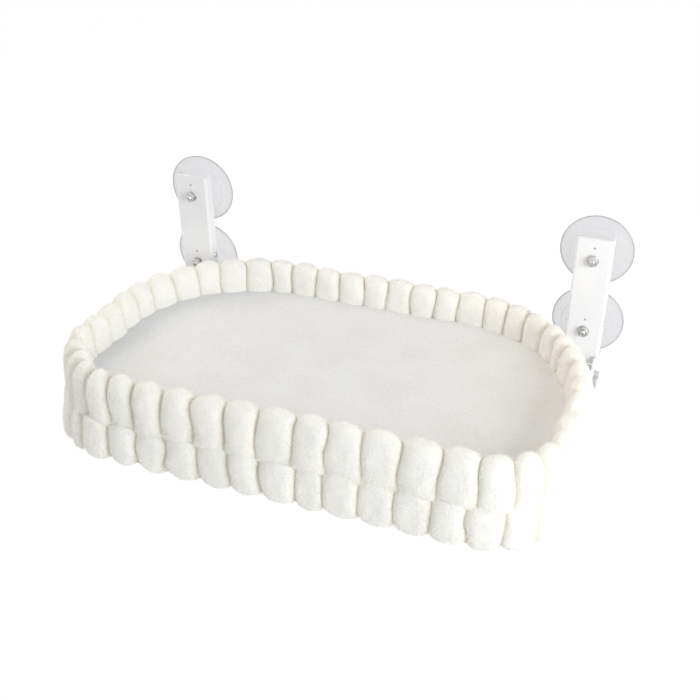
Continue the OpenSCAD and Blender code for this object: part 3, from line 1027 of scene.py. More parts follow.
def plush_tree() -> bpy.types.NodeTree:
    """Geometry tree that sinks the grooves of a plain roll, stores how far down each groove a
    point lies as painted shade, and raises its lumps and fluff.

    Returns:
        The tree. Its rule reads the roll's rib_place, rib_depth, rib_round and rib_out values.
    """
    sizes = ("Lump Height", "Lump Size", "Clump Height", "Clump Size", "Fluff Height",
             "Fluff Size", "Seed", "Fuzz Density", "Fuzz Length")
    inputs = {"Roll": "Geometry", **dict.fromkeys(sizes, "Float"), "Cloth": "Material"}
    graph, given = geometry_graph("Plush_Ribs", inputs, "Plush")

    def value(name: str) -> Wire:
        """One of the tree's inputs."""
        return Wire(graph, given.outputs[name])

    def stored(name: str, kind: str = "FLOAT") -> Wire:
        """A value stored at each vertex."""
        return graph.wire("GeometryNodeInputNamedAttribute", {"data_type": kind}, {"Name": name})

    def scaled(vector: Wire, factor: Wire) -> Wire:
        """A vector times a number."""
        return graph.wire("ShaderNodeVectorMath", {"operation": "SCALE"},
                          {0: vector, "Scale": factor})

    place = graph.wire("GeometryNodeInputPosition")
    across = (stored("rib_place").math("ABSOLUTE") * 2.0).math("MINIMUM", 1.0)
    crest = (1.0 - across ** stored("rib_round")).math("MAXIMUM", 0.0)
    crest = crest ** CREST_POWER
    inwards = (1.0 - crest) * stored("rib_depth") * -1.0
    ribbed = graph.wire("GeometryNodeSetPosition", None, {
        "Geometry": value("Roll"), "Offset": scaled(stored("rib_out", "FLOAT_VECTOR"), inwards)})
    # Painted shade: the stored groove value tells the plush how much warm shade to paint at each
    # point.
    kept = graph.wire("GeometryNodeStoreNamedAttribute",
                      {"data_type": "FLOAT", "domain": "POINT"},
                      {"Geometry": ribbed, "Name": "groove",
                       "Value": (1.0 - crest) * stored("rib_shade")})
    height = None
    for number, part in enumerate(("Lump", "Clump", "Fluff")):
        noise = graph.wire("ShaderNodeTexNoise", {"noise_dimensions": "4D"}, {
            "Vector": place, "W": value("Seed") + NOISE_STEP * number, "Detail": 2.0,
            "Scale": 1.0 / value(f"{part} Size").math("MAXIMUM", 1e-4)})
        raised = (noise - 0.5) * 2.0 * value(f"{part} Height")
        height = raised if height is None else height + raised
    fluff = stored("rib_fluff")
    normal = graph.wire("GeometryNodeInputNormal")
    fluffy = graph.wire("GeometryNodeSetPosition", None, {
        "Geometry": kept, "Offset": scaled(normal, height * fluff)})
    spread = graph.node("GeometryNodeDistributePointsOnFaces", None, {
        "Mesh": fluffy, "Density": value("Fuzz Density") * fluff, "Seed": 3})
    length = value("Fuzz Length")
    tuft = graph.node("GeometryNodeMeshCone", None, {
        "Vertices": 3, "Radius Top": 0.0, "Radius Bottom": length * TUFT_SLIMNESS,
        "Depth": length})
    size = graph.node("FunctionNodeRandomValue", {"data_type": "FLOAT"},
                      {2: TUFT_SIZES[0], 3: TUFT_SIZES[1], "Seed": 5})
    placed = graph.node("GeometryNodeInstanceOnPoints", None, {
        "Points": spread.outputs["Points"], "Instance": tuft.outputs["Mesh"],
        "Rotation": spread.outputs["Rotation"], "Scale": size.outputs[1]})
    lean = graph.node("FunctionNodeRandomValue", {"data_type": "FLOAT_VECTOR"}, {
        0: tuple(-part for part in TUFT_LEAN), 1: TUFT_LEAN, "Seed": 9})
    leant = graph.node("GeometryNodeRotateInstances", None, {
        "Instances": placed.outputs[0], "Rotation": lean.outputs[0]})
    both = graph.node("GeometryNodeJoinGeometry")
    for part in (leant.outputs[0], fluffy.socket):
        graph.tree.links.new(part, both.inputs[0])
    real = graph.node("GeometryNodeRealizeInstances", None, {"Geometry": both.outputs[0]})
    dressed = graph.node("GeometryNodeSetMaterial", None, {
        "Geometry": real.outputs[0], "Material": value("Cloth")})
    graph.node("NodeGroupOutput", None, {"Plush": dressed.outputs[0]})
    return graph.tree


@dataclass(frozen=True)
class Lean:
    """A stretch of the soft wall that leans in or out.

    Attributes:
        middle: its middle, a distance along the outline.
        spread: how far it reaches to each side.
        heights: heights in millimetres, from the foot up.
        insets: how far the wall leans in at each of them.
    """

    middle: float
    spread: float
    heights: Sequence[float]
    insets: Sequence[float]

    def at(self, place: np.ndarray, height: np.ndarray) -> np.ndarray:
        """How far the wall leans in at places along the outline and heights."""
        return bell(place, self.middle, self.spread) * np.interp(height, self.heights, self.insets)


# The left end of the bed, as it sags: its front corner, its side, and a bulge behind that
FRONT_CORNER = Lean(-250, 48, (-118, -95, -80, -60, -22), (-0.5, 1.5, 3.0, 5.0, 4.0))
LEFT_END = Lean(-268, 26, (-120, -60, -22), (-0.5, 1.0, 4.5))
LEFT_BULGE = Lean(-328, 32, (-90, -22), (0.0, -3.0))
# Each wave of the rim's wall: how far it leans in, millimetres to a radian, and its start
WALL_WAVES = ((0.9, 61, 0.7), (0.6, 27, 2.1))
# Heights between which the waves grow to their full size
WALL_HEIGHTS: Pair = (-72, -22)
# Heights of the lower row and what share of the flare stands out at each
FOOT_HEIGHTS = (-120, -100, -84, -70)
FOOT_SHARES = (-1.0, -0.7, -0.45, 0.0)


def slouch(along: np.ndarray, height: np.ndarray, flare: float) -> np.ndarray:
    """How far the soft wall leans in from its plain section.

    Args:
        along: distances along the outline.
        height: heights in millimetres.
        flare: how far the foot of the lower row stands out.

    Returns:
        The extra inset: the left end and its front corner lean in and the foot spreads.
    """
    place = OUTLINE.signed(along)
    corner, end, bulge = (
        lean.at(place, height) for lean in (FRONT_CORNER, LEFT_END, LEFT_BULGE))
    waves = sum(size * np.sin(place / length + start) for size, length, start in WALL_WAVES)
    waves = waves * np.interp(height, WALL_HEIGHTS, (0.0, 1.0))
    foot = flare * np.interp(height, FOOT_HEIGHTS, FOOT_SHARES)
    return corner + (end + bulge) + waves + foot


@dataclass
class PlushRow:
    """One roll of plush ribs round part or all of the bed. Lengths in millimetres.

    Attributes:
        name: the piece's name.
        node: the CAD node that it stands for.
        section: points (inset, height) of a crest's section, outer side first.
        depth_at: groove depth as a share, at each point of the section; it also sets how much
            painted shade the groove gets.
        round_at: how round a rib's crest is, at each point of the section.
        grooves: distances of the grooves along the outline, in order.
        closed: whether the row goes all the way round.
        columns: points across a section.
        seed: seed of what varies.
        flare: how far the foot stands out.
        steps: rows of points in a rib.
        crowding: how much closer the rows lie near a groove, from 0 to 1.
        depth: greatest depth of a groove.
        deepest: the same as a share of the rib's width.
        broad: middle and reach, along the outline, of the broadest and deepest grooves.
        broad_depth: how much deeper they are, as a share.
        broad_round: how much less round the ribs are there.
        sway: how far a groove wanders sideways.
        sway_share: how much of it each wave of a groove takes.
        uneven: how much the ribs differ in thickness.
        lump: height and size of the lumps.
        clump: height and size of the clumps of pile.
        fluff: height and size of the fluff.
        fuzz: length of a tuft of fuzz.
        fuzz_density: tufts to a square metre.
        fill: how tightly the roll is stuffed; not used.
    """

    name: str
    node: str
    section: Sequence[Pair]
    depth_at: Callable[[np.ndarray], np.ndarray]
    round_at: Callable[[np.ndarray], np.ndarray]
    grooves: Sequence[float]
    closed: bool
    columns: int
    seed: int
    flare: float = 0.0
    steps: int = 20
    crowding: float = 0.65
    depth: float = 5.0
    deepest: float = 0.36
    broad: Pair = (-150, 105)
    broad_depth: float = 0.3
    broad_round: float = 0.75
    sway: float = 1.6
    sway_share: float = 0.6
    uneven: float = 0.9
    lump: Pair = (1.3, 24)
    clump: Pair = (0.4, 7)
    fluff: Pair = (0.3, 1.9)
    fuzz: float = 2.3
    fuzz_density: float = 6.0e5
    fill: float = 0.75

    def _stations(self) -> tuple[np.ndarray, np.ndarray, np.ndarray, np.ndarray]:
        """Distances along the outline, closer together near the grooves.

        Returns:
            Distance, place across the rib from -0.5 to 0.5, rib number and rib width, one to
            a station.
        """
        grooves = list(self.grooves)
        if self.closed:
            grooves.append(grooves[0] + OUTLINE.length)
        turn = np.linspace(-math.pi / 2, math.pi / 2, self.steps + 1)[:-1]
        share = (1 - self.crowding) * (turn / math.pi) + self.crowding * 0.5 * np.sin(turn)
        ones = np.ones_like(share)
        rows: list[tuple[np.ndarray, ...]] = []
        for number, (start, end) in enumerate(zip(grooves[:-1], grooves[1:])):
            width = end - start
            rows.append(((start + end) / 2 + share * width, share, number * ones, width * ones))
        if not self.closed:
            last = (grooves[-1], 0.5, len(grooves) - 2, grooves[-1] - grooves[-2])
            rows.append(tuple(np.array([v]) for v in last))
        return tuple(np.concatenate(column) for column in zip(*rows))

    def _section(self) -> tuple[np.ndarray, np.ndarray]:
        """The crest's section.

        Returns:
            Its points (inset, height) and their outward directions.
        """
        path = rounded_path(self.section, self.columns)
        step = np.roll(path, -1, 0) - np.roll(path, 1, 0)
        out = np.stack([step[:, 1], -step[:, 0]], -1)
        out /= np.linalg.norm(out, axis=1, keepdims=True)
        if np.mean(np.sum(out * (path - path.mean(0)), 1)) < 0:
            out = -out
        return path, out

    def _wander(self, rib: np.ndarray, across: np.ndarray, lean: np.ndarray) -> np.ndarray:
        """How far the grooves wander sideways.

        Args:
            rib: rib number of each station.
            across: place of each station across its rib.
            lean: three random numbers for each rib.

        Returns:
            The distance for each station and each point of the section.
        """
        level = np.arange(self.columns) / self.columns * 2 * math.pi
        waves = np.stack([np.sin(level + 1.1), np.sin(2 * level + 0.4), np.cos(3 * level)], 0)
        near = np.clip(across + 0.5, 0, 1)[:, None]
        before = lean[rib - 1 if self.closed else np.maximum(rib - 1, 0)]
        mixed = before * (1 - near) + lean[rib] * near
        return self.sway * (mixed @ waves) * self.sway_share

    def _roll(self, points: np.ndarray, values: dict[str, np.ndarray]) -> bpy.types.Mesh:
        """Closes the points to a roll, with a hub in each end of a row that has ends.

        Args:
            points: the roll's points (station, place in the section, xyz).
            values: what the plush tree reads, for each point.

        Returns:
            The roll's mesh.
        """
        rows, columns = points.shape[:2]
        faces = grid_faces(rows, columns, self.closed, True).tolist()
        flat = points.reshape(-1, 3)
        hubs = 0
        if not self.closed:
            hubs = 2
            for hub, row in enumerate((0, rows - 1), len(flat)):
                ring = list(range(row * columns, (row + 1) * columns))
                for a, b in zip(ring, ring[1:] + ring[:1]):
                    faces.append([b, a, hub] if row else [a, b, hub])
            flat = np.vstack([flat, points[0].mean(0), points[-1].mean(0)])
        mesh = mesh_of(self.name, flat, faces)
        for name, value in values.items():
            each = np.broadcast_to(value, (rows, columns, *value.shape[2:]))
            each = each.reshape(rows * columns, *value.shape[2:])
            add_value(mesh, name, np.concatenate([each, np.zeros((hubs, *each.shape[1:]))]))
        point_outwards(mesh)
        return mesh

    def build(self, tree: bpy.types.NodeTree) -> bpy.types.Object:
        """Makes the roll and runs the tree on it.

        Args:
            tree: the plush tree.

        Returns:
            The piece.
        """
        rng = np.random.default_rng(self.seed)
        along, across, rib, width = self._stations()
        path, out = self._section()
        count = int(rib.max()) + 1
        swell = rng.normal(0, self.uneven, count)
        lean = rng.normal(0, 1.0, (count, 3))
        rib = rib.astype(int)
        placed = along[:, None] + self._wander(rib, across, lean)
        point, outward, _ = OUTLINE.at(placed)
        inset, height = path[:, 0][None, :], path[:, 1][None, :]
        local = width[:, None] * (1 - inset * OUTLINE.eased_bend(along)[:, None])
        full = np.cos(np.clip(across, -0.5, 0.5) * math.pi)[:, None] * swell[rib][:, None]
        inset = inset + slouch(placed, height, self.flare) - full * out[:, 0][None, :]
        height = height + full * out[:, 1][None, :]
        points = np.concatenate([point - outward * inset[..., None], height[..., None]], -1) * MM
        upwards = np.broadcast_to(out[:, 1], height.shape)[..., None]
        direction = np.concatenate([-outward * out[:, 0][:, None], upwards], -1)
        wide = bell(OUTLINE.signed(along), *self.broad)[:, None]
        share = self.depth_at(path)[None, :]
        depth = self.depth * (1 + self.broad_depth * wide)
        depth = np.minimum(depth, self.deepest * local) * share
        piece = new_object(self.name, self._roll(points, {
            "rib_place": across[:, None], "rib_depth": depth * MM,
            "rib_round": self.round_at(path)[None, :] - self.broad_round * wide,
            # rib_shade: how much of the groove's painted shade shows at each point of the section.
            "rib_shade": np.clip(share, 0, 1), "rib_fluff": np.ones((1, 1)),
            "rib_out": direction}))
        sizes = {f"{part} {what}": length * MM
                 for part, pair in (("Lump", self.lump), ("Clump", self.clump),
                                    ("Fluff", self.fluff))
                 for what, length in zip(("Height", "Size"), pair)}
        apply_tree(piece, tree, {
            **sizes, "Seed": float(self.seed), "Cloth": PLUSH.material(),
            "Fuzz Density": self.fuzz_density, "Fuzz Length": self.fuzz * MM})
        finished(piece, PLUSH, "bed", self.node)
        return piece


# Distances of the grooves along the outline, in order from the middle of the front to the right
UPPER_GROOVES = [
    15.5, 48, 83, 119, 157, 194.5, 231, 262, 293, 325, 358, 391, 424, 456, 487, 512, 538, 571,
    602, 633, 667, 695, 723, 753, 783, 812, 840, 872, 903, 939, 974, 1006, 1040, 1075, 1104.5,
    1134.5, 1162.5, 1189.5, 1219, 1250, 1282, 1313, 1342, 1368.5, 1400.5, 1433.5, 1467, 1500.5]
LOWER_FRONT_GROOVES = [-239, -219.5, -184, -152.5, -120, -84.5, -50.5, -18.5, 18, 46, 82, 116.5,
                       151.5, 185.5, 222]


@dataclass
class Bed:
    """Everything soft that lies on the board, and the board's lining. Lengths in millimetres.

    Attributes:
        rim_section: points (inset, height) of the raised rim's section, outer side first.
        lower_section: the same for the lower row.
        arm_gap: how far in from the bed's side the lower row is open over an arm.
        groove_shift: how far the lower row's grooves are moved from the rim's.
        least_rib: width below which two ribs of the lower row become one.
        pad_top: height of the pad's edge.
        pad_crown: how much higher its middle is.
        pad_foot: height of its underside.
        pad_inset: how far its edge lies inside the outline.
        pad_pitch: distance between the points of its mesh.
        crown_reach: distance from its edge at which the crown is full.
        edge_rise: height and reach of its raised border.
        edge_dip: depth and reach of its edge's dip under the ribs.
        ripples: how many faint waves cross the pad.
        ripple_height: the height of each.
        ripple_turns: least and greatest number of radians to a millimetre.
        pad_fill: how tightly it is stuffed; not used.
        foam_inset: how far the foam's edge lies inside the outline.
        foam_low: height of the foam's underside.
        foam_gap: how far its top lies below the pad.
        foam_round: depth and reach of its rounded border.
        foam_pitch: distance between the points of its mesh.
        foam_fill: how tight it is; not used.
        lining_inset: how far the lining's edge lies inside the outline.
        lining_low: height of the solid lining's underside.
        lining_up: how much higher this one's underside is.
        lining_t: its thickness.
        lining_pitch: distance between the points of its mesh.
        lining_flat: the size that the lining is cut to, in metres; not used.
        lining_area: its area in square metres; not used.
        tape_high: height of the tape's upper edge.
        tape_low: height of its lower edge.
        tape_thickness: its thickness.
        tape_gap: how far its ends stay from the ends of the plush.
        tape_pitch: distance between the points of its mesh.
        tape_wave: size of its waver, and radians of it to a millimetre.
        sharp: angle in degrees past which an edge of the foam or the lining is sharp.
    """

    rim_section: Sequence[Pair] = (
        (8, -78), (5.0, -75), (4.0, -67), (4.1, -55), (5, -44), (7.4, -33.5), (11.8, -25.8),
        (17.5, -22.4), (23.5, -23), (28, -28.6), (30, -39), (31, -52), (32.5, -64), (33, -74),
        (28, -78.2), (16, -78.6))
    lower_section: Sequence[Pair] = (
        (5.5, -70.8), (3.6, -73), (2.3, -82), (1.0, -95), (0.9, -107), (3.2, -116.8), (9, -122),
        (14, -120), (17.8, -113), (18.8, -100), (18.8, -86), (17, -77), (12.5, -71.6))
    arm_gap: Pair = (3.0, 85.0)
    groove_shift: float = 5.0
    least_rib: float = 14.0
    pad_top: float = -59.0
    pad_crown: float = 2.2
    pad_foot: float = -64.9
    pad_inset: float = 25.5
    pad_pitch: float = 3.2
    crown_reach: float = 110.0
    edge_rise: Pair = (1.5, 30)
    edge_dip: Pair = (2.5, 7)
    ripples: int = 18
    ripple_height: float = 0.17
    ripple_turns: Pair = (0.02, 0.09)
    pad_fill: float = 0.55
    foam_inset: float = 36.6
    foam_low: float = -79.0
    foam_gap: float = 0.2
    foam_round: Pair = (2.5, 4)
    foam_pitch: float = 12.0
    foam_fill: float = 0.9
    lining_inset: float = 19.6
    lining_low: float = -88.0
    lining_up: float = 0.05
    lining_t: float = 0.9
    lining_pitch: float = 9.0
    lining_flat: Pair = (0.511, 0.283)
    lining_area: float = 0.1327
    tape_high: float = -111.5
    tape_low: float = -120.5
    tape_thickness: float = 1.2
    tape_gap: float = 3.0
    tape_pitch: float = 4.0
    tape_wave: Pair = (0.25, 0.21)
    sharp: float = 50.0

    @staticmethod
    def rim_depth(path: np.ndarray) -> np.ndarray:
        """Depth of the rim's grooves: most over the top, little underneath, less inside.

        Args:
            path: points (inset, height) of the section.

        Returns:
            A share of the full depth for each point.
        """
        inset, height = path.T
        return (0.25 + 0.75 * rise(height, -77, 9) + 0.4 * rise(height, -44, 16)) * (
            1 - 0.2 * rise(inset, 24, 10))

    @staticmethod
    def rim_rounding(path: np.ndarray) -> np.ndarray:
        """Roundness of the rim's ribs: wider grooves over the top and at the pinched foot.

        Args:
            path: points (inset, height) of the section.

        Returns:
            The crest's exponent at each point.
        """
        inset, height = path.T
        outer = np.clip(1.4 - inset / 12, 0, 1)
        return 3.3 - 1.3 * outer * rise(-height, 52, 20) - 1.2 * rise(height, -38, 12)

    @staticmethod
    def lower_depth(path: np.ndarray) -> np.ndarray:
        """Depth of the lower grooves: full outside, deeper below, none against the board.

        Args:
            path: points (inset, height) of the section.

        Returns:
            A share of the full depth for each point.
        """
        inset, height = path.T
        inside = rise(inset, 9, 8) * rise(height, -121, 12)
        return np.clip(1.05 + 0.35 * rise(-height, 104, 14) - inside, 0.05, 1.4)

    @staticmethod
    def lower_rounding(path: np.ndarray) -> np.ndarray:
        """Roundness of the lower ribs: wider grooves at the pinched line and at the foot.

        Args:
            path: points (inset, height) of the section.

        Returns:
            The crest's exponent at each point.
        """
        height = path[:, 1]
        return 3.3 - 1.3 * rise(height, -90, 18) - 1.2 * rise(-height, 108, 10)

    def rim(self, tree: bpy.types.NodeTree) -> None:
        """Builds the raised rim: an upright ribbed wall with a domed top.

        Args:
            tree: the plush tree.
        """
        PlushRow("Plush_Rim", "plush_rim", self.rim_section, self.rim_depth, self.rim_rounding,
                 UPPER_GROOVES, closed=True, columns=84, seed=11).build(tree)

    def lower(self, tree: bpy.types.NodeTree) -> None:
        """Builds the lower rows at the front and the back.

        Args:
            tree: the plush tree.
        """
        start, end = self._opening()
        front = self._between(-start, start)
        back = self._between(end, OUTLINE.length - end)
        for name, node, grooves, seed, flare in (
                ("Lower_Plush_Front", "plush_skirt_front", front, 21, 1.5),
                ("Lower_Plush_Back", "plush_skirt_back", back, 31, 0.0)):
            PlushRow(name, node, self.lower_section, self.lower_depth, self.lower_rounding,
                     grooves, closed=False, columns=64, seed=seed, flare=flare).build(tree)

    def _opening(self) -> tuple[float, float]:
        """Where the lower plush stops and starts again over the right arm.

        Returns:
            Two distances along the outline.
        """
        side, radius = OUTLINE.ends[2], OUTLINE.back_r
        start, end = (side + radius * math.acos((radius - inset) / radius)
                      for inset in self.arm_gap)
        return start, end

    def _between(self, start: float, end: float) -> list[float]:
        """Grooves of a lower row: those of the upper row, shifted, with the front's own.

        Args:
            start: distance along the outline where the row starts.
            end: where it ends.

        Returns:
            Distances of its grooves, with both ends.
        """
        upper = np.array(UPPER_GROOVES)
        wide = np.concatenate([upper - OUTLINE.length, upper, upper + OUTLINE.length])
        wide -= self.groove_shift
        least = self.least_rib
        if start < 0:
            low, high = LOWER_FRONT_GROOVES[0], LOWER_FRONT_GROOVES[-1]
            kept = wide[(wide < low - least) | (wide > high + least)]
            wide = np.concatenate([kept, LOWER_FRONT_GROOVES])
        inner = np.sort(wide[(wide > start + least) & (wide < end - least)])
        return [start, *inner.tolist(), end]

    @staticmethod
    def grid(inset: float, pitch: float) -> tuple[np.ndarray, np.ndarray]:
        """Straight rows of points that fill an inset outline, closer together at its ends.

        Args:
            inset: distance of the filled area from the outline.
            pitch: distance between points in the middle.

        Returns:
            Points (row, column, xy) and how far each lies inside the area's edge.
        """
        wide, front_r, back_r = (
            v - inset for v in (OUTLINE.half_w, OUTLINE.front_r, OUTLINE.back_r))
        front, back = OUTLINE.front_y + inset, OUTLINE.back_y - inset
        quarter = math.pi / 2
        turns = [np.linspace(0, quarter, round(radius * quarter / pitch))
                 for radius in (front_r, back_r)]
        side = back - front - front_r - back_r
        straight = np.linspace(0, 1, round(side / pitch))[1:-1]
        y = np.concatenate([front + front_r * (1 - np.cos(turns[0])),
                            front + front_r + side * straight,
                            back - back_r * (1 - np.cos(turns[1][::-1]))])
        half = np.concatenate([wide - front_r * (1 - np.sin(turns[0])),
                               np.full(len(straight), wide),
                               wide - back_r * (1 - np.sin(turns[1][::-1]))])
        across = np.linspace(-1, 1, round(2 * wide / pitch))
        points = np.stack(np.broadcast_arrays(half[:, None] * across, y[:, None]), -1)
        x, y = np.abs(points[..., 0]), points[..., 1]
        inside = np.minimum(wide - x, np.minimum(y - front, back - y))
        for radius, reach in ((front_r, front + front_r - y), (back_r, y - back + back_r)):
            over = x - wide + radius
            corner = (over > 0) & (reach > 0)
            rounded = np.minimum(inside, radius - np.hypot(over, reach))
            inside = np.where(corner, rounded, inside)
        return points, inside.clip(0)

    @staticmethod
    def slab(name: str, flat: np.ndarray, top: np.ndarray, foot: float | np.ndarray,
             edge: float | None = None) -> bpy.types.Object:
        """Closes a grid into a slab with an upper and a lower face.

        Args:
            name: the piece's name.
            flat: the grid's points (row, column, xy).
            top: height of each upper point.
            foot: height of the lower points.
            edge: angle in degrees past which an edge is sharp, if any is.

        Returns:
            The piece.
        """
        rows, columns = top.shape
        upper, lower = (np.concatenate([flat, np.broadcast_to(z, top.shape)[..., None]], -1)
                        for z in (top, foot))
        count = rows * columns
        faces = grid_faces(rows, columns, False, False)
        number = np.arange(count).reshape(rows, columns)
        loop = np.concatenate([number[0, :-1], number[:-1, -1], number[-1, :0:-1],
                               number[:0:-1, 0]])
        after = np.roll(loop, -1)
        wall = np.stack([loop, after, after + count, loop + count], -1)
        points = np.concatenate([upper.reshape(-1, 3), lower.reshape(-1, 3)]) * MM
        mesh = mesh_of(name, points, [*faces.tolist(), *(faces[:, ::-1] + count).tolist(),
                                      *wall.tolist()])
        point_outwards(mesh)
        if edge is not None:
            mesh.set_sharp_from_angle(angle=math.radians(edge))
        return new_object(name, mesh)

    def pad(self) -> None:
        """Builds the flat pad: a low crown whose edge dips under the ribs."""
        flat, inside = self.grid(self.pad_inset, self.pad_pitch)
        rng = np.random.default_rng(5)
        x, y = flat[..., 0], flat[..., 1]
        top = self.pad_top + self.pad_crown * rise(inside, 0, self.crown_reach) ** 0.7
        for _ in range(self.ripples):
            angle = rng.uniform(0, math.pi)
            wave = rng.uniform(*self.ripple_turns)
            phase = rng.uniform(0, 2 * math.pi)
            run = x * math.cos(angle) + y * math.sin(angle)
            top = top + self.ripple_height * np.sin(run * wave + phase)
        raised, dipped = (height * (1 - rise(inside, 0, reach)) ** 2
                          for height, reach in (self.edge_rise, self.edge_dip))
        top += raised - dipped
        piece = self.slab("Pad", flat, top, self.pad_foot)
        finished(piece, PAD_PILE, "bed", "pad_cover")

    def foam(self) -> None:
        """Builds the foam block under the pad."""
        flat, inside = self.grid(self.foam_inset, self.foam_pitch)
        depth, reach = self.foam_round
        top = self.pad_foot - self.foam_gap - depth * (1 - rise(inside, 0, reach))
        piece = self.slab("Foam", flat, top, self.foam_low, self.sharp)
        finished(piece, FOAM, "bed", "foam_mattress")

    def lining(self) -> None:
        """Builds the lining under the board."""
        flat, _ = self.grid(self.lining_inset, self.lining_pitch)
        low = np.full(flat.shape[:2], self.lining_low + self.lining_up)
        piece = self.slab("Lining", flat, low + self.lining_t, low, self.sharp)
        finished(piece, LINING, "bed", "base_lining")
        self.tape()

    def tape(self) -> bpy.types.Object:
        """Builds the tape that binds the inner edge of the lower plush.

        Returns:
            The tape.
        """
        start, end = self._opening()
        gap, (size, turns) = self.tape_gap, self.tape_wave
        runs = ((-start + gap, start - gap), (end + gap, OUTLINE.length - end - gap))
        points, faces, first = [], [], 0
        inner = self.lining_inset + 0.1
        outer = inner + self.tape_thickness
        for low, high in runs:
            along = np.linspace(low, high, int((high - low) / self.tape_pitch))
            point, outward, _ = OUTLINE.at(along)
            wave = size * np.sin(along * turns)
            corners = []
            for inset, z in ((inner, self.tape_high), (inner, self.tape_low),
                             (outer, self.tape_low), (outer, self.tape_high)):
                flat = point - outward * (inset + wave * 0.5)[:, None]
                corners.append(np.column_stack([flat, z + wave]))
            points.append(np.stack(corners, 1).reshape(-1, 3))
            faces += (grid_faces(len(along), 4, False, True) + first).tolist()
            last = first + (len(along) - 1) * 4
            faces.append([first, first + 1, first + 2, first + 3])
            faces.append([last + 3, last + 2, last + 1, last])
            first = last + 4
        mesh = mesh_of("Hem_Tape", np.concatenate(points) * MM, faces)
        point_outwards(mesh)
        mesh.polygons.foreach_set("use_smooth", [False] * len(mesh.polygons))
        return finished(new_object("Hem_Tape", mesh), LINING, "bed", "hem_tape")

    def build(self) -> None:
        """Builds every soft piece."""
        tree = plush_tree()
        self.rim(tree)
        self.lower(tree)
        self.pad()
        self.foam()
        self.lining()


# Suction cups and their fixings


# Distances of the cups' studs from the middle, to the side and up or down, in millimetres
CUP_X = 237.0
CUP_Z = 43.0
# Half a side of a hexagon, as seen from its middle
THIRTY_DEGREES = math.pi / 6


def turned(profile: Sequence[Pair], count: int, poles: Pair, x: float = 0.0,
           z: float = 0.0) -> tuple[np.ndarray, Faces]:
    """A shape turned about a line along Y, closed by a pole at each end.

    Args:
        profile: radius and place along Y of each ring.
        count: points in a ring.
        poles: places of the poles along Y.
        x: place of the line to the right.
        z: place of the line upwards.

    Returns:
        Its points and faces.
    """
    table = np.array(profile)
    rings = len(table)
    turn = np.linspace(0, 2 * math.pi, count, endpoint=False)
    radius, place = table[:, 0][:, None], np.broadcast_to(table[:, 1][:, None], (rings, count))
    points = np.stack([x + radius * np.cos(turn), place, z + radius * np.sin(turn)], -1)
    faces = grid_faces(rings, count, False, True).tolist()
    for hub, row in enumerate((0, rings - 1), rings * count):
        faces += [[row * count + j, row * count + (j + 1) % count, hub] for j in range(count)]
    return np.vstack([points.reshape(-1, 3), *([x, pole, z] for pole in poles)]), faces


@dataclass
class Cups:
    """The four suction cups, turned about their studs. Lengths in millimetres.

    Attributes:
        profile: radius and height above the glass, from the middle of the dish round to the
            stud's hole.
        hole: height of the dish's middle and of the end of the stud's hole.
        segments: points in a ring.
        rim_radii: radii between which the vinyl's density and its painted shade rise and fall.
        rim_density_and_shade: how dense it is, and how dark its painted shade is, at each of them.
        flange: height above which it is clear throughout.
        peg_place: height above the glass, and distance above the stud, of the locating peg.
        peg_radii: radii of its two ends.
        peg_length: its length.
    """

    profile: Sequence[Pair] = (
        (6, 8.36), (12, 7.9), (18, 6.9), (24, 5.35), (30, 3.3), (34, 1.75), (37, 0.55),
        (38.4, 0.06), (39.3, 0), (39.9, 0.25), (40, 0.75), (39.7, 1.15), (38.6, 1.5),
        (36, 2.45), (32.5, 4.1), (29.8, 5.5), (28.9, 6.1), (28.6, 6.8), (28.1, 7.25),
        (27.2, 7.5), (24, 8.6), (19.5, 10.4), (15, 12.2), (12.2, 13.7), (11.2, 15.2),
        (11, 17.5), (11.1, 19.6), (12, 20.9), (13.8, 21.5), (14.7, 21.8), (15, 22.4),
        (15, 24.8), (14.6, 25.4), (13.9, 25.5), (8, 25.5), (3.4, 25.5), (3.15, 25.2),
        (3.1, 22.6))
    hole: Pair = (8.4, 22.6)
    segments: int = 128
    rim_radii: Sequence[float] = (27.4, 28.4, 29.6, 38.3, 39.5)
    rim_density_and_shade: Sequence[float] = (0.0, 0.3, 0.0, 0.0, 1.0)
    flange: float = 9.0
    peg_place: Pair = (25.8, 14.0)
    peg_radii: Pair = (1.2, 1.0)
    peg_length: float = 3.2

    def cup_mesh(self, name: str, x: float, z: float) -> bpy.types.Mesh:
        """Turns one cup about its stud and adds its peg.

        Args:
            name: the mesh's name.
            x: place of the stud to the right.
            z: place of the stud upwards.

        Returns:
            The mesh.
        """
        profile = np.array(self.profile) * (1, -1)
        low, high = self.hole
        points, faces = turned(profile, self.segments, (-low, -high), x, z)
        mesh = mesh_of(name, points * MM, faces)
        # Painted shade: the rim value darkens the thick outer edge and, faintly, the inner step.
        rim = np.interp(profile[:, 0], self.rim_radii, self.rim_density_and_shade)
        rim *= profile[:, 1] > -self.flange
        add_value(mesh, "rim", np.concatenate([np.repeat(rim, self.segments), [0.0, 0.0]]))
        point_outwards(mesh)
        out, up = self.peg_place
        place = Matrix.Translation(Vector((x, -out, z + up)) * MM)
        start, end = self.peg_radii
        peg = bmesh.new()
        peg.from_mesh(mesh)
        bmesh.ops.create_cone(peg, cap_ends=True, segments=24, radius1=start * MM,
                              radius2=end * MM, depth=self.peg_length * MM,
                              matrix=place @ Matrix.Rotation(math.pi / 2, 4, "X"))
        peg.to_mesh(mesh)
        peg.free()
        return mesh

    def build(self) -> None:
        """Builds the cups with their locating pegs."""
        for side, x in (("left", -CUP_X), ("right", CUP_X)):
            for level, z in (("upper", CUP_Z), ("lower", -CUP_Z)):
                name = f"{level}_{side}_cup"
                piece = new_object("Clear_" + name, self.cup_mesh(name, x, z))
                finished(piece, CLEAR_CUP, "uprights", name)


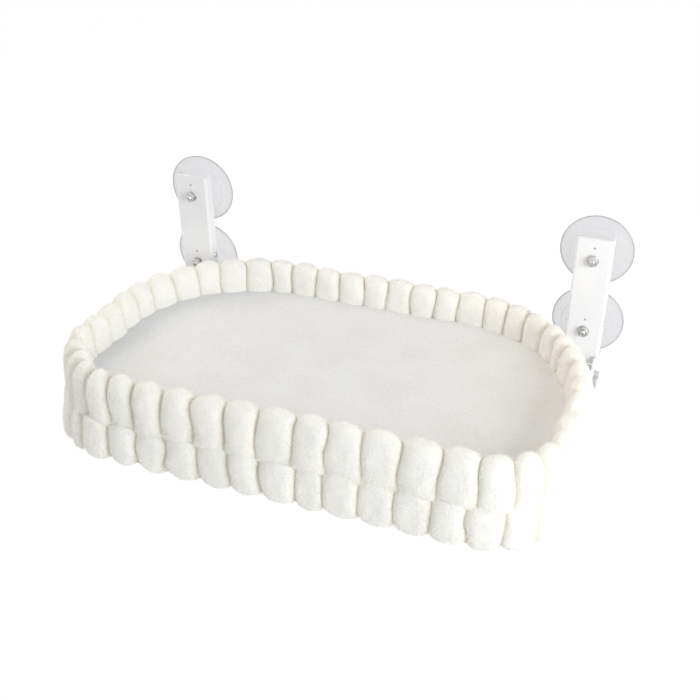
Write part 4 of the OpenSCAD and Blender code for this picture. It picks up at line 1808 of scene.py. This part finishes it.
class Ring(Enum):
    """What a ring of a nut or washer follows."""

    ROUND = "round"
    HEXAGON = "hexagon"


class Drive(Enum):
    """Which way a row of nuts or washers faces."""

    ALONG_Y = (0.0, 0.0, 0.0)
    ALONG_X = (0.0, 0.0, math.pi / 2)


def fastener_tree() -> bpy.types.NodeTree:
    """Geometry tree that puts one fastener at every point of a mesh.

    Returns:
        The tree.
    """
    graph, given = geometry_graph("Fasteners", {
        "Places": "Geometry", "Fastener": "Object", "Turn": "Vector", "Spread": "Float",
        "Seed": "Int", "Plating": "Material"}, "Row")
    source = graph.node("GeometryNodeObjectInfo", {"transform_space": "ORIGINAL"},
                        {"Object": given.outputs["Fastener"]})
    spin = graph.node("FunctionNodeRandomValue", {"data_type": "FLOAT"},
                      {3: given.outputs["Spread"], "Seed": given.outputs["Seed"]})
    about = graph.wire("ShaderNodeCombineXYZ", None, {"Y": spin.outputs[1]})
    placed = graph.node("GeometryNodeInstanceOnPoints", None, {
        "Points": given.outputs["Places"], "Instance": source.outputs["Geometry"],
        "Rotation": given.outputs["Turn"]})
    spun = graph.node("GeometryNodeRotateInstances", None, {
        "Instances": placed.outputs[0], "Rotation": about})
    real = graph.node("GeometryNodeRealizeInstances", None, {"Geometry": spun.outputs[0]})
    dressed = graph.node("GeometryNodeSetMaterial", None, {
        "Geometry": real.outputs[0], "Material": given.outputs["Plating"]})
    graph.node("NodeGroupOutput", None, {"Row": dressed.outputs[0]})
    return graph.tree


@dataclass
class Fixings:
    """Nuts, washers and studs of the cups, and the pivots' nuts. Lengths in millimetres.

    Attributes:
        plate: place of the uprights' front face along Y.
        washer_t: thickness of a washer.
        nut_h: height of a nut.
        flats: size of a nut over its flats.
        chamfer: slope of its chamfer.
        stud_out: how far a stud stands out of its nut.
        stud_foot: where its thread ends inside the cup, and where its disc does.
        disc_r: radius of its disc.
        crest: radius of the thread's crests.
        root: radius between them.
        lead: distance from one crest to the next.
        pivot_y: place of the pivots along Y.
        pivot_z: their place upwards.
        pivot_out: distance of a pivot's nut from the middle of its upright.
        sharp: angle in degrees past which an edge is sharp.
    """

    plate: float = -27.5
    washer_t: float = 1.2
    nut_h: float = 5.0
    flats: float = 10.0
    chamfer: float = 0.58
    stud_out: float = 2.0
    stud_foot: Pair = (-22.4, -21.0)
    disc_r: float = 9.0
    crest: float = 2.98
    root: float = 2.58
    lead: float = 1.0
    pivot_y: float = -25.5
    pivot_z: float = -99.0
    pivot_out: float = 17.9
    sharp: float = 32.0

    def master(self, name: str, points: np.ndarray, faces: Faces) -> bpy.types.Object:
        """An object that the tree copies.

        Args:
            name: its name.
            points: its points.
            faces: its faces.

        Returns:
            The object.
        """
        mesh = mesh_of(name, points * MM, faces)
        point_outwards(mesh)
        mesh.set_sharp_from_angle(angle=math.radians(self.sharp))
        return new_object(name, mesh)

    def band(self, name: str, rings: Sequence[tuple[Ring, float, float]],
             count: int) -> bpy.types.Object:
        """A nut or washer about the Y axis.

        Args:
            name: its name.
            rings: what each ring follows, its radius, and its place along Y. On a hexagon
                the radius is where the chamfer starts.
            count: points in a ring.

        Returns:
            The object.
        """
        turn = np.linspace(0, 2 * math.pi, count, endpoint=False)
        from_flat = (turn + THIRTY_DEGREES) % (2 * THIRTY_DEGREES) - THIRTY_DEGREES
        hexagon = self.flats / 2 / np.cos(from_flat)
        made = []
        for follows, radius, place in rings:
            plan, drop = np.full(count, radius), 0.0
            if follows is Ring.HEXAGON:
                drop = (hexagon - radius).clip(0) * self.chamfer * (1 if place > 0 else -1)
                plan = hexagon
            places = np.full(count, place) - drop
            made.append(np.stack([plan * np.cos(turn), places, plan * np.sin(turn)], -1))
        faces = grid_faces(len(rings), count, True, True).tolist()
        return self.master(name, np.concatenate(made), faces)

    def nut(self) -> bpy.types.Object:
        """A hexagonal nut with chamfered corners and a countersunk hole.

        Returns:
            The object that is copied.
        """
        h = self.nut_h / 2
        return self.band("nut_master", (
            (Ring.ROUND, 3.06, -h + 0.6), (Ring.ROUND, 3.06, h - 0.6), (Ring.ROUND, 3.5, h),
            (Ring.ROUND, 4.7, h), (Ring.HEXAGON, 4.7, h), (Ring.HEXAGON, 4.7, -h),
            (Ring.ROUND, 4.7, -h), (Ring.ROUND, 3.5, -h)), 72)

    def washer(self) -> bpy.types.Object:
        """A flat washer with a stamped edge.

        Returns:
            The object that is copied.
        """
        h = self.washer_t / 2
        outline = ((3.15, -h + 0.1), (3.15, h - 0.1), (3.3, h), (6.0, h), (6.3, h - 0.3),
                   (6.3, -h + 0.1), (6.2, -h), (3.3, -h))
        return self.band("washer_master", [(Ring.ROUND, *place) for place in outline], 64)

    def stud(self) -> bpy.types.Object:
        """A threaded stud, from its disc in the cup to its cupped end outside the nut.

        Returns:
            The object that is copied.
        """
        end = self.plate - self.washer_t - self.nut_h - self.stud_out
        foot, disc = self.stud_foot
        profile = [(1.2, end + 1.7), (1.45, end + 0.2), (1.6, end), (2.2, end),
                   (2.75, end + 0.55)]
        place = end + 0.8
        while place < foot - 1.2:
            profile += [(self.crest, place), (self.crest, place + 0.12),
                        (self.root, place + 0.5), (self.root, place + 0.62)]
            place += self.lead
        profile += [(3.0, foot), (self.disc_r, foot), (self.disc_r, disc)]
        return self.master("stud_master", *turned(profile, 48, (end + 2.0, disc)))

    def row(self, tree: bpy.types.NodeTree, name: str, master: bpy.types.Object,
            places: Sequence[Place], drive: Drive = Drive.ALONG_Y) -> None:
        """Places one fastener at every point.

        Args:
            tree: the fastener tree.
            name: the piece's name, which is its CAD node's with capital letters.
            master: the object that is copied.
            places: the places in millimetres.
            drive: which way it faces.
        """
        piece = new_object(name, mesh_of(name, np.array(places, float) * MM, []))
        apply_tree(piece, tree, {"Fastener": master, "Turn": drive.value, "Spread": 1.0,
                                 "Seed": 4, "Plating": ZINC.material()})
        piece.data.set_sharp_from_angle(angle=math.radians(self.sharp))
        finished(piece, ZINC, "uprights", name.lower())

    def build(self) -> None:
        """Builds the rows."""
        tree = fastener_tree()
        nut, washer, stud = self.nut(), self.washer(), self.stud()
        washer_y = self.plate - self.washer_t / 2
        nut_y = self.plate - self.washer_t - self.nut_h / 2
        for name, master, y in (("Cup_Nuts", nut, nut_y), ("Cup_Washers", washer, washer_y),
                                ("Cup_Studs", stud, 0.0)):
            places = [(x, y, z) for x in (-CUP_X, CUP_X) for z in (-CUP_Z, CUP_Z)]
            self.row(tree, name, master, places)
        inner = CUP_X - self.pivot_out - self.washer_t - self.nut_h / 2
        places = [(x, self.pivot_y, self.pivot_z) for x in (-inner, inner)]
        self.row(tree, "Pivot_Nuts", nut, places, Drive.ALONG_X)
        for master in (nut, washer, stud):
            bpy.data.objects.remove(master)


# Rigid pieces that keep the CAD shape


@dataclass
class SoftenedCopy:
    """A copy of a CAD node whose sharp edges are slightly rounded.

    Attributes:
        node: the CAD node.
        body: the body that carries it.
        finish: its finish.
        radius: radius of the rounding, in millimetres.
        flat: angle in degrees up to which faces are merged.
        rounded: angle in degrees past which an edge is rounded.
        sharp: angle in degrees past which an edge stays sharp.
    """

    node: str
    body: str
    finish: Finish
    radius: float = 0.35
    flat: float = 0.6
    rounded: float = 30.0
    sharp: float = 40.0

    def build(self) -> None:
        """Copies, merges and rounds the node's mesh."""
        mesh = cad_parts[self.node].data.copy()
        mesh.name = self.node.title()
        work = bmesh.new()
        work.from_mesh(mesh)
        bmesh.ops.remove_doubles(work, verts=work.verts, dist=1e-6)
        bmesh.ops.dissolve_limit(work, angle_limit=math.radians(self.flat), verts=work.verts,
                                 edges=work.edges)
        least = math.radians(self.rounded)
        edges = [e for e in work.edges
                 if len(e.link_faces) == 2 and e.calc_face_angle(0.0) > least]
        bmesh.ops.bevel(work, geom=edges, offset=self.radius * MM, segments=2, profile=0.5,
                        affect="EDGES", clamp_overlap=True)
        work.to_mesh(mesh)
        work.free()
        mesh.polygons.foreach_set("use_smooth", [True] * len(mesh.polygons))
        mesh.set_sharp_from_angle(angle=math.radians(self.sharp))
        piece = new_object(mesh.name, mesh)
        weighted = piece.modifiers.new("weighted", "WEIGHTED_NORMAL")
        weighted.keep_sharp = True
        keep_result(piece)
        finished(piece, self.finish, self.body, self.node)


@dataclass
class SteelWork:
    """The uprights, hinges and support frame.

    Attributes:
        softened: the pieces whose edges are rounded.
        kept: the CAD nodes that only get a finish.
    """

    softened: Sequence[SoftenedCopy] = (
        SoftenedCopy("left_upright", "uprights", WHITE_STEEL, 0.5),
        SoftenedCopy("right_upright", "uprights", WHITE_STEEL, 0.5),
        SoftenedCopy("left_hinge_bracket", "uprights", WHITE_STEEL),
        SoftenedCopy("right_hinge_bracket", "uprights", WHITE_STEEL),
        SoftenedCopy("bracket_rivets", "uprights", ZINC, 0.3),
        SoftenedCopy("pivot_bolts", "uprights", ZINC, 0.3),
        SoftenedCopy("left_arm", "bed", WHITE_STEEL, 0.4),
        SoftenedCopy("right_arm", "bed", WHITE_STEEL, 0.4),
        SoftenedCopy("arm_end_caps", "bed", WHITE_NYLON, 0.6),
        SoftenedCopy("lock_bolts", "bed", ZINC, 0.3),
        SoftenedCopy("left_knob", "left_clamp_knob", GREY_NYLON, 0.5),
        SoftenedCopy("right_knob", "right_clamp_knob", GREY_NYLON, 0.5),
    )
    kept: Sequence[tuple[str, Finish]] = (
        ("pivot_washers", ZINC), ("front_cross_tube", WHITE_STEEL),
        ("rear_cross_tube", WHITE_STEEL), ("tube_inserts", GREY_NYLON), ("tube_screws", ZINC),
        ("pivot_spacers", GREY_NYLON), ("lock_washers", ZINC), ("support_board", BIRCH),
        ("board_bolts", ZINC), ("board_nuts", ZINC),
    )

    def build(self) -> None:
        """Rounds the pieces that show and dresses the rest."""
        for piece in self.softened:
            piece.build()
        for node, finish in self.kept:
            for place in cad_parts[node].material_slots:
                place.material = finish.material()
            LOG.info("%s: %s", node, finish.name)


# Stage


@dataclass(frozen=True)
class SoftBox:
    """A square lamp.

    Attributes:
        name: its name.
        place: where it stands, in metres.
        aim: the point that it faces.
        size: its side in metres.
        power: its power in watts.
        colour: its colour.
    """

    name: str
    place: Place
    aim: Place
    size: float
    power: float
    colour: Colour = WHITE

    def build(self) -> None:
        """Adds the lamp to the scene."""
        data = bpy.data.lights.new(self.name, "AREA")
        data.shape = "SQUARE"
        data.size = self.size
        data.energy = self.power
        data.color = self.colour
        held = bpy.data.objects.new(self.name, data)
        bpy.context.scene.collection.objects.link(held)
        held.location = self.place
        held.rotation_mode = "QUATERNION"
        towards = Vector(self.aim) - Vector(self.place)
        held.rotation_quaternion = towards.to_track_quat("-Z", "Y")


BED_MIDDLE: Place = (0.0, -0.17, -0.06)
RIGHT_END: Place = (0.235, -0.16, -0.07)


@dataclass
class Studio:
    """Camera, lamps, world and floor. Lengths in metres.

    Attributes:
        eye: place of the camera.
        right: direction of the picture's right side.
        up: direction of its top.
        lens: focal length in millimetres.
        sensor: width of the sensor in millimetres.
        shift: shift of the lens, in picture widths.
        ambient: strength of the world's light.
        tint: colour of that light on the object.
        floor_z: height of the floor.
        floor_half: half its side.
        floor_tone: colour of the floor.
        floor_glow: how bright it looks.
        floor_share: how much of its look is that glow and not shadow.
        lamps: the lamps.
    """

    eye: Place = (0.33335, -0.98653, 0.51171)
    right: Place = (0.94969, 0.31240, 0.02235)
    up: Place = (-0.18290, 0.49526, 0.84927)
    lens: float = 51.053
    sensor: float = 36.0
    shift: Pair = (-0.08, 0.0)
    ambient: float = 0.56
    tint: Colour = (0.965, 0.985, 1.0)
    floor_z: float = -0.42
    floor_half: float = 12.0
    floor_tone: Colour = (0.9, 0.9, 0.9)
    floor_glow: float = 1.08
    floor_share: float = 0.86
    lamps: Sequence[SoftBox] = (
        SoftBox("Key", (1.2, -0.8, 0.42), BED_MIDDLE, 0.8, 12.2),
        SoftBox("Top", (-1.1, 0.1, 0.8), BED_MIDDLE, 0.9, 9.1, (1.0, 0.89, 0.76)),
        SoftBox("Warm", (0.19, -0.15, 0.1), RIGHT_END, 0.06, 0.016, (1.0, 0.55, 0.14)),
    )

    def camera(self) -> None:
        """Sets the camera at the photograph's angle."""
        data = bpy.data.cameras.new("Camera")
        data.lens = self.lens
        data.sensor_width = self.sensor
        data.shift_x, data.shift_y = self.shift
        held = bpy.data.objects.new("Camera", data)
        bpy.context.scene.collection.objects.link(held)
        right = Vector(self.right).normalized()
        up = (Vector(self.up) - right * right.dot(Vector(self.up))).normalized()
        turn = Matrix((right, up, right.cross(up))).transposed().to_4x4()
        held.matrix_world = Matrix.Translation(self.eye) @ turn
        bpy.context.scene.camera = held

    @staticmethod
    def seen(graph: Graph) -> Wire:
        """1 for rays that see the background directly, in metal or through glass.

        Args:
            graph: a material's or the world's graph.

        Returns:
            The value for each ray.
        """
        path = graph.node("ShaderNodeLightPath")
        straight, glossy, through = (
            Wire(graph, path.outputs[f"Is {kind} Ray"])
            for kind in ("Camera", "Glossy", "Transmission"))
        return (straight + glossy + through).limited()

    def world(self) -> None:
        """Sets a plain pale world, which shows as white."""
        world = bpy.data.worlds.new("Studio")
        graph = fresh_graph(world)
        seen = self.seen(graph)
        glow = graph.node("ShaderNodeBackground", None, {
            "Color": graph.blend(seen, self.tint, WHITE),
            "Strength": self.ambient + (1.0 - self.ambient) * seen})
        graph.node("ShaderNodeOutputWorld", None, {"Surface": glow.outputs[0]})
        bpy.context.scene.world = world

    def floor(self) -> None:
        """Lays a wide pale floor that keeps the shadow."""
        signs = ((-1, -1), (1, -1), (1, 1), (-1, 1))
        corners = [(x * self.floor_half, y * self.floor_half, self.floor_z) for x, y in signs]
        held = new_object("Floor", mesh_of("Floor", np.array(corners), [[0, 1, 2, 3]]))
        made = bpy.data.materials.new("Pale_Floor")
        graph = fresh_graph(made)
        matte = graph.node("ShaderNodeBsdfDiffuse", None, {"Color": (*self.floor_tone, 1.0)})
        glow = graph.node("ShaderNodeEmission", None, {
            "Color": (*WHITE, 1.0), "Strength": self.floor_glow})
        mixed = graph.node("ShaderNodeMixShader", None, {
            0: self.seen(graph) * self.floor_share, 1: matte.outputs[0], 2: glow.outputs[0]})
        graph.node("ShaderNodeOutputMaterial", None, {"Surface": mixed.outputs[0]})
        held.data.materials.append(made)

    def build(self) -> None:
        """Builds the whole stage."""
        self.camera()
        self.world()
        self.floor()
        for lamp in self.lamps:
            lamp.build()
        bpy.context.scene.view_settings.view_transform = "Standard"


def main() -> None:
    """Builds the stage and every piece."""
    logging.basicConfig(level=logging.INFO, format="%(name)s: %(message)s")
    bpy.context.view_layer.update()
    for part in (Studio(), SteelWork(), Cups(), Fixings(), Bed()):
        part.build()
        LOG.info("%s built", type(part).__name__)


if __name__ == "__main__":
    main()
